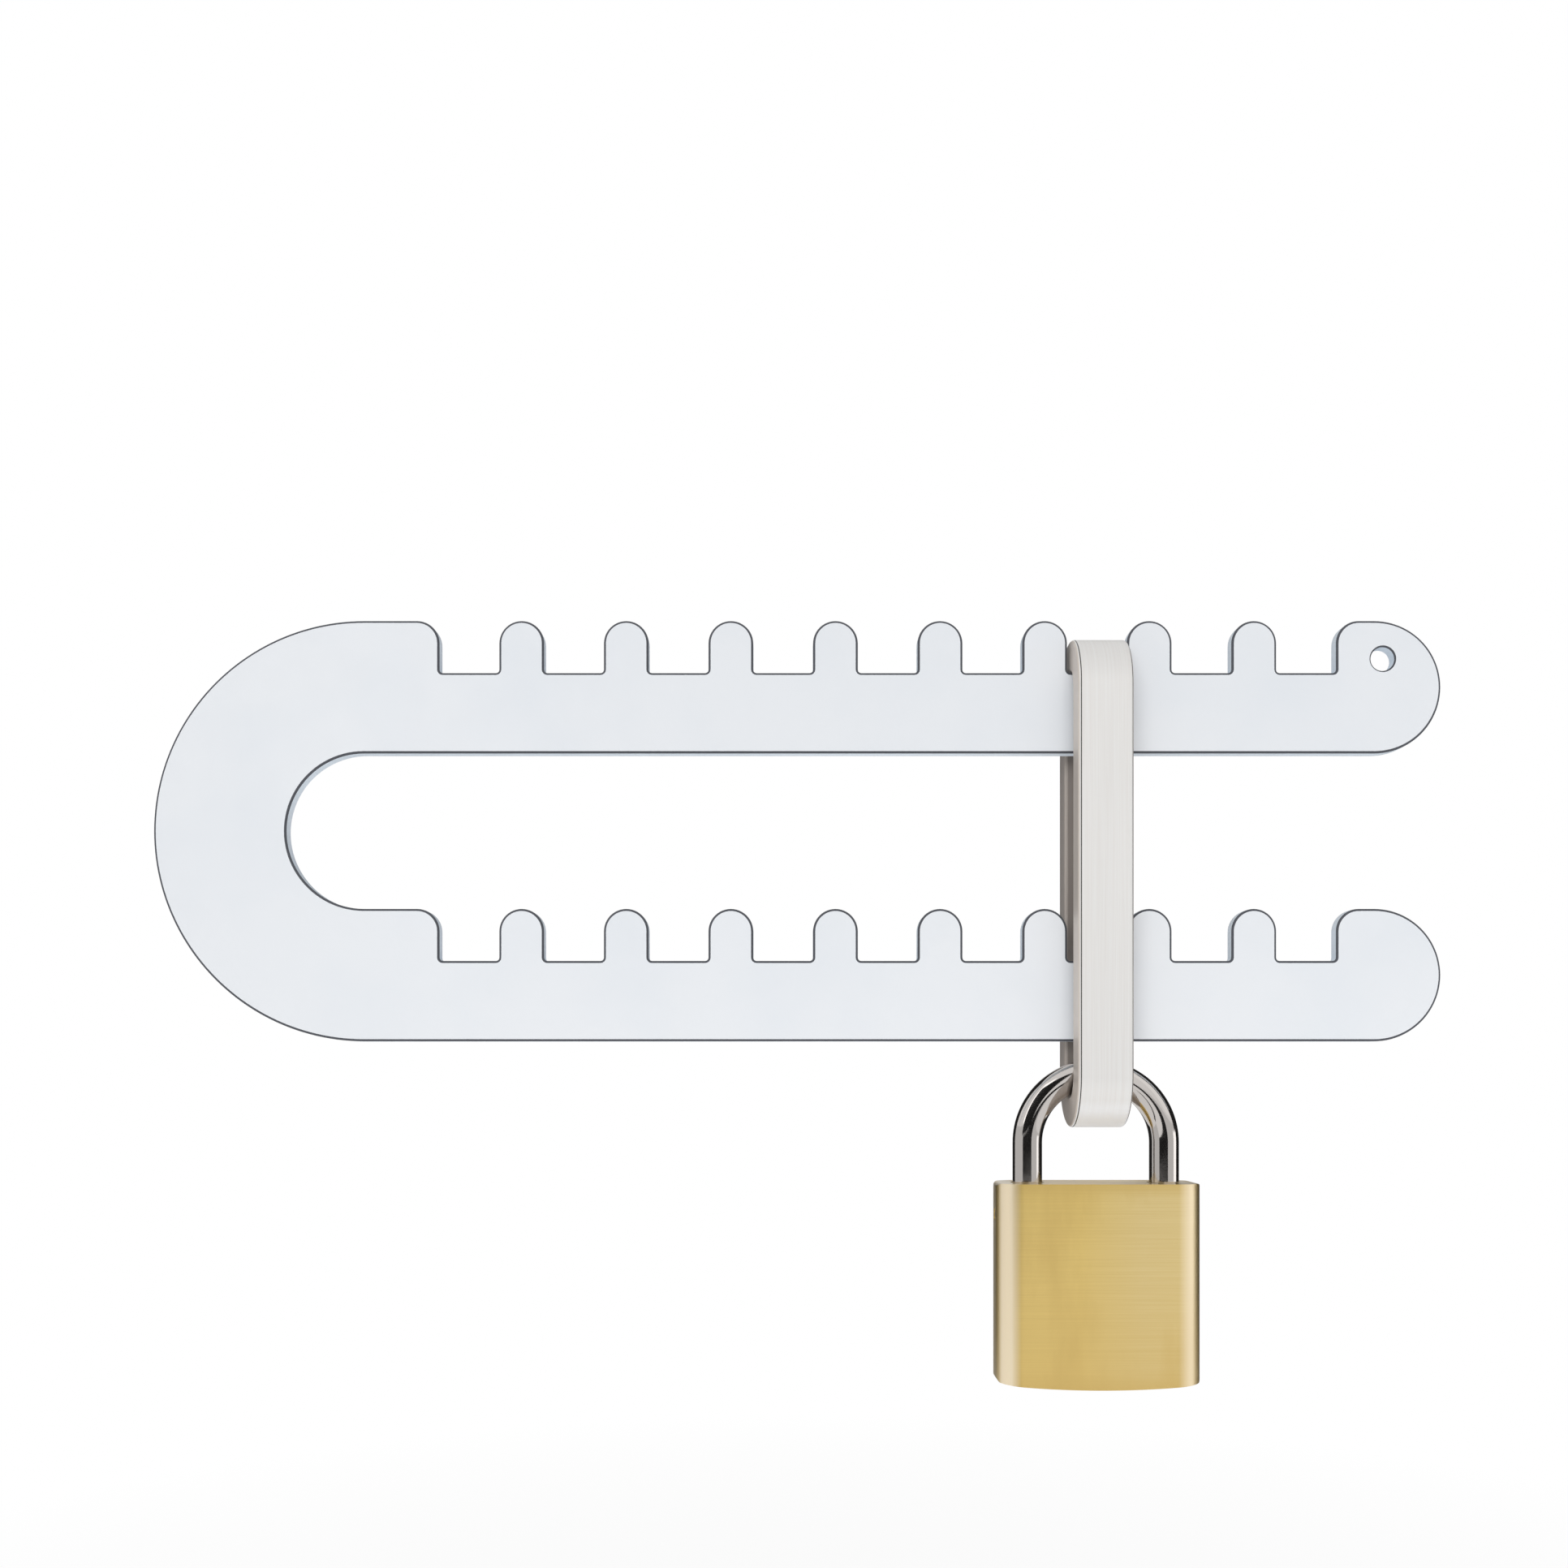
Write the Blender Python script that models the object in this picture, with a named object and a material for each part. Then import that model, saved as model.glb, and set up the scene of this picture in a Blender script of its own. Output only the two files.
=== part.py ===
"""Double door handle lock.

A flat steel plate, cut as a U with two rows of rounded teeth, goes round the pulls of a double door. A
closed flat-bar loop drops over both arms into one pair of notches. A brass padlock hangs through the loop's
lower end, so the loop can't rise past the teeth.

The origin is the middle of the upper arm's straight underside, which rests on the pulls. +X runs along the
arms to their open end, the front faces -Y, and +Z is up. The padlock is closed, with its plug turned to the
open side and its latches drawn in.
"""

import itertools
import math

import bmesh
import bpy
import numpy as np
from mathutils import Matrix, Vector

MM = 0.001

# Fits
FIT = 0.3 * MM  # gap between pieces that touch, or that slide or turn in one another
OVERRUN = 1.0 * MM  # how far a cutter runs past the face that it opens
MERGE = 0.001 * MM  # points closer than this are one point

# U plate
PLATE_THICKNESS = 4.8 * MM
ARM_ROOT = 23.8 * MM  # height of an arm below its notches
ARM_GAP = 46.0 * MM  # from the upper arm's underside to the lower arm's tooth tips
TOOTH_HEIGHT = 15.4 * MM
TOOTH_WIDTH = 13.25 * MM
NOTCH_WIDTH = 17.7 * MM
NOTCH_COUNT = 9
NOTCH_FILLET = 1.0 * MM
BEND_LEAD = 22.3 * MM  # from the bend's centre to the first notch
END_LEAD = 11.3 * MM  # from the last notch to the centre of an arm's round end
TETHER_RADIUS = 3.5 * MM
TETHER_ALONG = 2.45 * MM  # tether hole, from the centre of the upper arm's round end
TETHER_UP = 8.35 * MM

# Locking loop
LOOP_NOTCH = 7  # the notch that the loop sits in, counted from the bend
LOOP_PLAY = 0.85 * MM  # free on each side of the bar in its notch
LOOP_THICKNESS = 9.0 * MM
LOOP_EDGE = 1.3 * MM
LOOP_LIFT_MARGIN = 1.8 * MM  # what the empty loop rises beyond the height of a tooth
SWING_ROOM = 0.37 * MM  # between the loop's sides and the shackle, at any angle of the padlock

# Shackle
ROD_RADIUS = 4.35 * MM
LEG_SPACING = 40.6 * MM
CLEAR_HEIGHT = 27.8 * MM  # from the case to the underside of the crown
LEG_CHAMFER = 1.2 * MM
TOE_TAIL = 4.0 * MM  # toe leg below its latch
TOE_ROOM = 1.0 * MM  # free below the toe leg
HEEL_TAIL = 2.7 * MM  # heel leg below its neck
RELEASE_TRAVEL = 17.0 * MM

# Lock case
SIDE_WALL = 5.05 * MM  # outside each shackle bore
FACE_WALL = 3.7 * MM  # in front of the plug and behind it
TOP_WALL = 4.4 * MM  # above the cam
CASE_ROUNDING = 7.5 * MM  # the four upright edges
CASE_DOME = 1.6 * MM  # how far the underside bellies
TOP_CORNER = 1.5 * MM
BOTTOM_CORNER = 1.7 * MM

# Latches and cam
LATCH_RADIUS = 3.0 * MM
LATCH_TRAVEL = 2.3 * MM
NOSE_RADIUS = 1.6 * MM
NOSE_LENGTH = 3.05 * MM
CAM_BASE = 3.0 * MM  # from the axis to the latches' faces, with the latches drawn in
KEY_TURN = math.radians(90)
COLLAR_HEIGHT = 4.0 * MM
STEM_HEIGHT = 9.4 * MM
STEM_RADIUS = 2.2 * MM
TONGUE_WIDTH = 3.0 * MM
TONGUE_LENGTH = 8.0 * MM

# Plug
PLUG_RADIUS = 6.0 * MM
FIRST_PIN = 8.7 * MM  # from the plug's face
PIN_COUNT = 5
PIN_WALL = 0.8 * MM  # between neighbouring pin bores
KEYWAY_WIDTH = 2.4 * MM
KEYWAY_REACH = 3.6 * MM  # past the plug's axis
KEYWAY_TAIL = 1.6 * MM  # past the last pin
WARD_DEPTH = 0.5 * MM
WARD_HEIGHT = 1.6 * MM
GROOVE_DEPTH = 1.2 * MM
GROOVE_WALL = 1.35 * MM  # between the last pin bore and the retaining pin's bore
GROOVE_LAND = 1.65 * MM  # between the groove and the slot for the tongue
SLOT_DEPTH = 2.3 * MM

# Pins and springs
PIN_RADIUS = 1.3 * MM
PIN_POINT = 1.0 * MM
KEY_PIN_SHARES = (0.53, 0.73, 0.63, 0.83, 0.67)  # of the plug's radius
DRIVER_LENGTH = 5.0 * MM
PIN_SPRING_LENGTH = 8.1 * MM
PIN_SPRING_WIRE = 0.4 * MM
PIN_SPRING_TURNS = 5
RETAINER_RADIUS = 1.25 * MM
STOP_PIN_RADIUS = 1.5 * MM
STOP_PIN_BITE = 1.65 * MM  # how far the stop pin reaches into the heel leg
POP_SPRING_LENGTH = 10.4 * MM
POP_SPRING_WIRE = 1.2 * MM
POP_SPRING_TURNS = 4

# Facets
ROUND_SIDES = 24
FINE_SIDES = 38  # not a multiple of 4, so no corner of the plug's bore lies on the underside's lowest line
SMALL_SIDES = 12
ARC_STEPS = 20
CAM_STEPS = 7
TOOTH_STEPS = 5
EDGE_STEPS = 2
COIL_POINTS = 8  # for each turn
SHARP_ANGLE = math.radians(35)
RIGHT_ANGLE = math.pi / 2
FULL_TURN = 2 * math.pi

# U plate, worked out
ARM_HEIGHT = ARM_ROOT + TOOTH_HEIGHT
ARM_PITCH = ARM_HEIGHT + ARM_GAP  # from the upper arm down to the lower one
END_RADIUS = ARM_HEIGHT / 2
BEND_INNER = ARM_GAP / 2
BEND_OUTER = BEND_INNER + ARM_HEIGHT
TOOTH_ROUNDING = min(TOOTH_WIDTH / 2, TOOTH_HEIGHT - NOTCH_FILLET)
NOTCH_PITCH = NOTCH_WIDTH + TOOTH_WIDTH
ROW_LENGTH = NOTCH_COUNT * NOTCH_PITCH - TOOTH_WIDTH
HALF_SPAN = (BEND_LEAD + ROW_LENGTH + END_LEAD) / 2  # the straight underside, each way from the origin
FIRST_NOTCH = BEND_LEAD - HALF_SPAN

# Shackle crown where it crosses the loop's edges
CROWN_RADIUS = LEG_SPACING / 2
LOOP_WIDTH = NOTCH_WIDTH - 2 * LOOP_PLAY
EDGE_SLOPE = math.asin(LOOP_WIDTH / 2 / CROWN_RADIUS)
EDGE_DROP = CROWN_RADIUS * (1 - math.cos(EDGE_SLOPE))
EDGE_HALF_SECTION = ROD_RADIUS / math.cos(EDGE_SLOPE)
CROWN_INNER = CROWN_RADIUS - ROD_RADIUS
SEAT_DROP = CROWN_INNER - math.sqrt(CROWN_INNER**2 - (LOOP_WIDTH / 2) ** 2)

# Locking loop, worked out
LOOP_INNER = EDGE_DROP + EDGE_HALF_SECTION + SWING_ROOM  # radius inside its round ends
LOOP_MIDDLE = LOOP_INNER + LOOP_THICKNESS / 2
PLATE_SINK = LOOP_INNER - math.sqrt(LOOP_INNER**2 - (PLATE_THICKNESS / 2) ** 2)
ARM_STACK = ARM_PITCH + ARM_ROOT  # from the upper notches' floor to the lower arm's underside
LOOP_INSIDE = ARM_STACK + TOOTH_HEIGHT + LOOP_LIFT_MARGIN
LOOP_X = FIRST_NOTCH + (LOOP_NOTCH - 1) * NOTCH_PITCH + NOTCH_WIDTH / 2
LOOP_TOP = ARM_ROOT + PLATE_SINK + FIT  # inside of the loop, at its upper end
LOOP_BOTTOM = LOOP_TOP - LOOP_INSIDE
PIVOT_Z = LOOP_BOTTOM + FIT + SEAT_DROP + ROD_RADIUS  # the padlock swings about the middle of the crown's rod

# Levels in the lock case, from its underside
PIN_BORE = PIN_RADIUS + FIT
PIN_PITCH = 2 * PIN_BORE + PIN_WALL
PIN_LEVELS = [FIT + FIRST_PIN + i * PIN_PITCH for i in range(PIN_COUNT)]
RETAINER_BORE = RETAINER_RADIUS + FIT
GROOVE_LEVEL = PIN_LEVELS[-1] + PIN_BORE + GROOVE_WALL + RETAINER_BORE
SLOT_FLOOR = GROOVE_LEVEL + RETAINER_BORE + GROOVE_LAND
PLUG_TOP = SLOT_FLOOR + SLOT_DEPTH
COLLAR_BOTTOM = PLUG_TOP + FIT
COLLAR_TOP = COLLAR_BOTTOM + COLLAR_HEIGHT
CAM_BOTTOM = COLLAR_TOP + STEM_HEIGHT
LATCH_LEVEL = CAM_BOTTOM + FIT + LATCH_RADIUS
CAM_TOP = LATCH_LEVEL + LATCH_RADIUS + FIT
CASE_HEIGHT = CAM_TOP + FIT + TOP_WALL
TOE_END = LATCH_LEVEL - LATCH_RADIUS - TOE_TAIL
NECK_LEVEL = LATCH_LEVEL - RELEASE_TRAVEL
NECK_HALF = LATCH_RADIUS + FIT
HEEL_END = NECK_LEVEL - NECK_HALF - HEEL_TAIL
STOP_PIN_LEVEL = LATCH_LEVEL - NECK_HALF + FIT + STOP_PIN_RADIUS
POP_SPRING_FLOOR = HEEL_END - FIT - POP_SPRING_LENGTH
HEEL_FLOOR = POP_SPRING_FLOOR - FIT

# Lock case across
LEG_BORE = ROD_RADIUS + FIT
LATCH_BORE = LATCH_RADIUS + FIT
PLUG_BORE = PLUG_RADIUS + FIT
CAM_LEAD = LATCH_TRAVEL / KEY_TURN  # latch travel for each radian of the key
CAM_REACH = math.hypot(CAM_BASE + LATCH_TRAVEL, CAM_LEAD)
CAM_BORE = CAM_REACH + FIT
CASE_HALF_WIDTH = CROWN_RADIUS + LEG_BORE + SIDE_WALL
CASE_DEPTH = 2 * (PLUG_BORE + FACE_WALL)
SIDE_END = CASE_HALF_WIDTH - FIT  # pins and caps end here, just inside the case's narrow sides
NECK_RADIUS = ROD_RADIUS - LATCH_TRAVEL
GROOVE_RADIUS = PLUG_RADIUS - GROOVE_DEPTH
LATCH_FACE = CAM_BASE + FIT
LATCH_TIP = CROWN_RADIUS - ROD_RADIUS - FIT
DRIVER_START = PLUG_RADIUS + FIT
SPRING_START = DRIVER_START + DRIVER_LENGTH + FIT
CAP_START = SPRING_START + PIN_SPRING_LENGTH + FIT
CASE_DROP = ROD_RADIUS + CLEAR_HEIGHT + CASE_HEIGHT  # from the padlock's pivot to the case's underside


def clear_scene():
    for obj in list(bpy.data.objects):
        bpy.data.objects.remove(obj)


# Materials
def finish(name, screen_colour, metallic, roughness):
    """A plain material, whose colour is given as red, green and blue from 0 to 255 as a screen shows it."""
    material = bpy.data.materials.new(name)
    material.use_nodes = True
    shader = material.node_tree.nodes["Principled BSDF"]
    linear = [((channel / 255 + 0.055) / 1.055) ** 2.4 for channel in screen_colour]
    shader.inputs["Base Color"].default_value = (*linear, 1.0)
    shader.inputs["Metallic"].default_value = metallic
    shader.inputs["Roughness"].default_value = roughness
    return material


def all_finishes():
    return {
        "coated_steel": finish("coated_steel", (231, 236, 241), metallic=0.0, roughness=0.45),
        "satin_steel": finish("satin_steel", (226, 223, 219), metallic=1.0, roughness=0.3),
        "chrome": finish("chrome", (222, 220, 215), metallic=1.0, roughness=0.08),
        "brushed_brass": finish("brushed_brass", (207, 182, 120), metallic=1.0, roughness=0.35),
        "plain_brass": finish("plain_brass", (190, 158, 92), metallic=1.0, roughness=0.4),
        "hard_steel": finish("hard_steel", (150, 152, 156), metallic=1.0, roughness=0.35),
        "spring_steel": finish("spring_steel", (120, 122, 126), metallic=1.0, roughness=0.4),
    }


# Objects
def place(name, data, parent=None, location=(0, 0, 0), material=None):
    obj = bpy.data.objects.new(name, data)
    bpy.context.scene.collection.objects.link(obj)
    obj.parent = parent
    obj.location = location
    if material:
        data.materials.append(material)
    return obj


def solid(name, bm, material=None, parent=None, location=(0, 0, 0)):
    """Turns a finished bmesh into an object, and frees the bmesh."""
    bmesh.ops.recalc_face_normals(bm, faces=bm.faces)
    mesh = bpy.data.meshes.new(name)
    bm.to_mesh(mesh)
    bm.free()
    mesh.shade_smooth()
    mesh.set_sharp_from_angle(angle=SHARP_ANGLE)
    return place(name, mesh, parent, location, material)


def boolean(target, tool_name, bm, operation="DIFFERENCE", location=(0, 0, 0)):
    """Cuts or joins a hidden tool, whose place is given in the target's own frame."""
    tool = solid(f"{target.name}_{tool_name}", bm, parent=target, location=location)
    tool.hide_render = True
    tool.display_type = "WIRE"
    modifier = target.modifiers.new(tool_name, "BOOLEAN")
    modifier.operation = operation
    modifier.solver = "EXACT"
    modifier.object = tool


# Shapes
def arc(centre, radius, start, end, steps):
    """Points along an arc from one angle to another, both in degrees."""
    angles = [math.radians(start + (end - start) * i / steps) for i in range(steps + 1)]
    return [(centre[0] + radius * math.cos(a), centre[1] + radius * math.sin(a)) for a in angles]


def apart(points):
    """The outline without points that repeat the one before them."""
    return [p for p, last in zip(points, points[-1:] + points[:-1]) if math.dist(p, last) > MERGE]


def rounded_rectangle(half_width, half_height, rounding, steps):
    corners = [(1, 1, 0), (-1, 1, 90), (-1, -1, 180), (1, -1, 270)]
    points = []
    for side, level, start in corners:
        centre = (side * (half_width - rounding), level * (half_height - rounding))
        points += arc(centre, rounding, start, start + 90, steps)
    return apart(points)


def prism(outline, low, high, along="Z"):
    """A closed solid between two levels of one axis. The outline is (x, y) across Z and (x, z) across Y."""
    bm = bmesh.new()
    if along == "Z":
        verts = [bm.verts.new((x, y, low)) for x, y in apart(outline)]
        lift = (0, 0, high - low)
    else:
        verts = [bm.verts.new((x, low, z)) for x, z in apart(outline)]
        lift = (0, high - low, 0)
    face = bm.faces.new(verts)
    top = bmesh.ops.extrude_face_region(bm, geom=[face])["geom"]
    bmesh.ops.translate(bm, verts=[v for v in top if isinstance(v, bmesh.types.BMVert)], vec=lift)
    return bm


def spun(bm, edges, sides):
    """Turns edges that lie beside the Z axis once round it."""
    verts = list({v for e in edges for v in e.verts})
    bmesh.ops.spin(
        bm,
        geom=verts + edges,
        cent=(0, 0, 0),
        axis=(0, 0, 1),
        angle=FULL_TURN,
        steps=sides,
        use_merge=True,
    )


def turned(profile, along="Z", sides=ROUND_SIDES):
    """A closed solid of revolution. The profile's points are (radius, level) from one end to the other.

    Along X it is turned by half a facet, so that its edges keep clear of the upright edges of what it crosses.
    """
    bm = bmesh.new()
    verts = [bm.verts.new((radius, 0, level)) for radius, level in profile]
    spun(bm, [bm.edges.new(pair) for pair in zip(verts, verts[1:])], sides)
    bmesh.ops.remove_doubles(bm, verts=bm.verts, dist=MERGE)
    if along == "X":
        half_facet = Matrix.Rotation(FULL_TURN / sides / 2, 3, "X")
        bmesh.ops.rotate(bm, verts=bm.verts, matrix=half_facet @ Matrix.Rotation(RIGHT_ANGLE, 3, "Y"))
    return bm


def cylinder(radius, start, end, along="Z", sides=ROUND_SIDES):
    return turned([(0, start), (radius, start), (radius, end), (0, end)], along, sides)


def ring_from(bm, points):
    """A closed loop of edges through the points."""
    verts = [bm.verts.new(point) for point in points]
    return [bm.edges.new(pair) for pair in zip(verts, verts[1:] + verts[:1])]


def hoop(profile):
    """A ring of revolution round Z, from a closed profile of (radius, level) points.

    It is turned by half a facet, so that its edges keep clear of the edges of the rod that it cuts.
    """
    bm = bmesh.new()
    spun(bm, ring_from(bm, [(radius, 0, level) for radius, level in profile]), ROUND_SIDES)
    half_facet = Matrix.Rotation(FULL_TURN / ROUND_SIDES / 2, 3, "Z")
    bmesh.ops.rotate(bm, verts=bm.verts, matrix=half_facet)
    return bm


def box(across, deep, tall):
    """A block between two values of X, of Y and of Z."""
    corners = [(across[0], deep[0]), (across[1], deep[0]), (across[1], deep[1]), (across[0], deep[1])]
    return prism(corners, *tall)


def facing(bm, side):
    """Turns a piece that points to +X so that it points to -X, where side is -1."""
    if side < 0:
        bmesh.ops.rotate(bm, verts=bm.verts, matrix=Matrix.Rotation(math.pi, 3, "Z"))
    return bm


def extruded(bm, ring, offset, scale=1.0):
    """Walls from a ring of edges to a copy of it, moved and scaled about its own middle."""
    geom = bmesh.ops.extrude_edge_only(bm, edges=ring)["geom"]
    verts = [v for v in geom if isinstance(v, bmesh.types.BMVert)]
    middle = sum((v.co for v in verts), Vector()) / len(verts)
    bmesh.ops.scale(bm, verts=verts, vec=(scale, scale, scale), space=Matrix.Translation(-middle))
    bmesh.ops.translate(bm, verts=verts, vec=offset)
    return [e for e in geom if isinstance(e, bmesh.types.BMEdge)]


def bent(bm, ring, centre, axis, angle, steps):
    """Walls from a ring of edges round a bend to its turned copy."""
    verts = list({v for e in ring for v in e.verts})
    last = bmesh.ops.spin(bm, geom=verts + ring, cent=centre, axis=axis, angle=angle, steps=steps)["geom_last"]
    return [e for e in last if isinstance(e, bmesh.types.BMEdge)]


def coil(name, middle_radius, wire, start, end, turns, material, parent, location, along="Z"):
    """A compression spring between two levels, as one round wire. Prints its least gap to itself."""
    count = turns * COIL_POINTS
    share = np.arange(count + 1) / count
    angle = FULL_TURN * turns * share
    level = start + wire / 2 + (end - start - wire) * share
    points = np.stack([middle_radius * np.cos(angle), middle_radius * np.sin(angle), level], axis=1)
    if along == "X":
        points = points[:, [2, 1, 0]] * (1, 1, -1)
    spacing = np.linalg.norm(points[:, None] - points[None, :], axis=2)
    index = np.arange(count + 1)
    neighbours = np.abs(index[:, None] - index[None, :]) < COIL_POINTS / 2
    gap = spacing[~neighbours].min() - wire
    print(f"{name}: least gap to itself {gap / MM:.2f} mm")
    curve = bpy.data.curves.new(name, "CURVE")
    curve.dimensions = "3D"
    curve.bevel_depth = wire / 2
    curve.bevel_resolution = 1
    curve.use_fill_caps = True
    spline = curve.splines.new("POLY")
    spline.points.add(count)
    for target, point in zip(spline.points, points):
        target.co = (*point, 1)
    return place(name, curve, parent, location, material)


# U plate
def arm_top(base):
    """The toothed edge of an arm from its last notch to its first, as points (x, z) from right to left."""
    top = base + ARM_HEIGHT
    floor = base + ARM_ROOT
    crest = top - TOOTH_ROUNDING
    points = []
    for i in reversed(range(NOTCH_COUNT)):
        left = FIRST_NOTCH + i * NOTCH_PITCH
        right = left + NOTCH_WIDTH
        points += arc((right + TOOTH_ROUNDING, crest), TOOTH_ROUNDING, 90, 180, TOOTH_STEPS)
        points += arc((right - NOTCH_FILLET, floor + NOTCH_FILLET), NOTCH_FILLET, 0, -90, EDGE_STEPS)
        points += arc((left + NOTCH_FILLET, floor + NOTCH_FILLET), NOTCH_FILLET, -90, -180, EDGE_STEPS)
        points += arc((left - TOOTH_ROUNDING, crest), TOOTH_ROUNDING, 0, 90, TOOTH_STEPS)
    return points


def plate_outline():
    """The U, from the upper arm's underside round both arms and back, seen from the front."""
    bend = (-HALF_SPAN, -BEND_INNER)
    lower = -ARM_PITCH
    points = arc((HALF_SPAN, END_RADIUS), END_RADIUS, -90, 90, ARC_STEPS)
    points += arm_top(0)
    points += arc(bend, BEND_OUTER, 90, 270, 2 * ARC_STEPS)
    points += arc((HALF_SPAN, lower + END_RADIUS), END_RADIUS, -90, 90, ARC_STEPS)
    points += arm_top(lower)
    points += arc(bend, BEND_INNER, 270, 90, 2 * ARC_STEPS)
    return points


def make_plate(finishes):
    half = PLATE_THICKNESS / 2
    plate = solid("u_plate", prism(plate_outline(), -half, half, "Y"), finishes["coated_steel"])
    hole = cylinder(TETHER_RADIUS, -half - OVERRUN, half + OVERRUN)
    bmesh.ops.rotate(hole, verts=hole.verts, matrix=Matrix.Rotation(RIGHT_ANGLE, 3, "X"))
    boolean(plate, "tether_hole", hole, location=(HALF_SPAN + TETHER_ALONG, 0, END_RADIUS + TETHER_UP))


# Locking loop
def make_loop(finishes):
    """A flat bar bent into a closed ring round both arms. Its origin is in the plate, at the notch floor."""
    upper = LOOP_TOP - LOOP_INNER - ARM_ROOT
    lower = LOOP_BOTTOM + LOOP_INNER - ARM_ROOT
    section = rounded_rectangle(LOOP_WIDTH / 2, LOOP_THICKNESS / 2, LOOP_EDGE, EDGE_STEPS)
    bm = bmesh.new()
    ring = ring_from(bm, [(x, LOOP_MIDDLE + y, upper) for x, y in section])
    ring = bent(bm, ring, (0, 0, upper), (1, 0, 0), math.pi, ARC_STEPS)
    ring = extruded(bm, ring, (0, 0, lower - upper))
    ring = bent(bm, ring, (0, 0, lower), (1, 0, 0), math.pi, ARC_STEPS)
    extruded(bm, ring, (0, 0, upper - lower))
    bmesh.ops.remove_doubles(bm, verts=bm.verts, dist=MERGE)
    solid("locking_loop", bm, finishes["satin_steel"], location=(LOOP_X, 0, ARM_ROOT))


# Shackle
def nose_profile(tip, room):
    """A latch's profile as (radius, distance), from behind its nose to its tip, grown by some room."""
    shoulder = tip - NOSE_LENGTH
    return [(LATCH_RADIUS + room, shoulder + room), (NOSE_RADIUS + room, tip + room), (0, tip + room)]


def make_shackle(finishes, pivot):
    """The rod from its toe, on the right, over the crown to its heel. Its origin is the padlock's pivot."""
    toe = TOE_END - CASE_DROP
    heel = HEEL_END - CASE_DROP
    bm = bmesh.new()
    ends = []
    angles = [FULL_TURN * i / ROUND_SIDES for i in range(ROUND_SIDES)]
    tip = ROD_RADIUS - LEG_CHAMFER
    ring = ring_from(bm, [(CROWN_RADIUS + tip * math.cos(a), tip * math.sin(a), toe) for a in angles])
    ends += ring
    ring = extruded(bm, ring, (0, 0, LEG_CHAMFER), ROD_RADIUS / tip)
    ring = extruded(bm, ring, (0, 0, -CROWN_RADIUS - toe - LEG_CHAMFER))
    ring = bent(bm, ring, (0, 0, -CROWN_RADIUS), (0, -1, 0), math.pi, ARC_STEPS)
    ring = extruded(bm, ring, (0, 0, heel + LEG_CHAMFER + CROWN_RADIUS))
    ring = extruded(bm, ring, (0, 0, -LEG_CHAMFER), tip / ROD_RADIUS)
    ends += ring
    bmesh.ops.edgeloop_fill(bm, edges=ends)
    shackle = solid("shackle", bm, finishes["chrome"], pivot)

    outer = ROD_RADIUS + OVERRUN
    neck = [(NECK_RADIUS, -NECK_HALF), (outer, -NECK_HALF), (outer, NECK_HALF), (NECK_RADIUS, NECK_HALF)]
    boolean(shackle, "neck", hoop(neck), location=(-CROWN_RADIUS, 0, NECK_LEVEL - CASE_DROP))

    slot_width = 2 * (STOP_PIN_RADIUS + FIT)
    slot_top = STOP_PIN_LEVEL + STOP_PIN_RADIUS + FIT
    slot_floor = -CROWN_RADIUS - ROD_RADIUS + STOP_PIN_BITE + FIT
    slot = box(
        (slot_floor - ROD_RADIUS, slot_floor),
        (-slot_width / 2, slot_width / 2),
        (NECK_LEVEL - CASE_DROP, slot_top - CASE_DROP),
    )
    boolean(shackle, "stop_slot", slot)

    thrown = LATCH_TIP + LATCH_TRAVEL
    for name, side in (("toe_notch", 1), ("heel_notch", -1)):
        profile = [(0, LATCH_FACE), (LATCH_BORE, LATCH_FACE)] + nose_profile(thrown, FIT)
        notch = facing(turned(profile, "X"), side)
        boolean(shackle, name, notch, location=(0, 0, LATCH_LEVEL - CASE_DROP))


# Lock case
def case_front():
    """The case as (x, z) seen from the front: round corners, and an underside that bellies."""
    top = CASE_HEIGHT - TOP_CORNER
    side = CASE_HALF_WIDTH - TOP_CORNER
    dome_end = CASE_HALF_WIDTH - BOTTOM_CORNER
    dome_radius = (CASE_HALF_WIDTH**2 + CASE_DOME**2) / (2 * CASE_DOME)
    swing = math.degrees(math.asin(dome_end / dome_radius))
    corner = dome_radius - math.sqrt(dome_radius**2 - dome_end**2) + BOTTOM_CORNER
    points = arc((0, dome_radius), dome_radius, -90 - swing, -90 + swing, ARC_STEPS)
    points += arc((dome_end, corner), BOTTOM_CORNER, -90, 0, EDGE_STEPS)
    points += arc((side, top), TOP_CORNER, 0, 90, EDGE_STEPS)
    points += arc((-side, top), TOP_CORNER, 90, 180, EDGE_STEPS)
    points += arc((-dome_end, corner), BOTTOM_CORNER, 180, 270, EDGE_STEPS)
    return points


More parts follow.
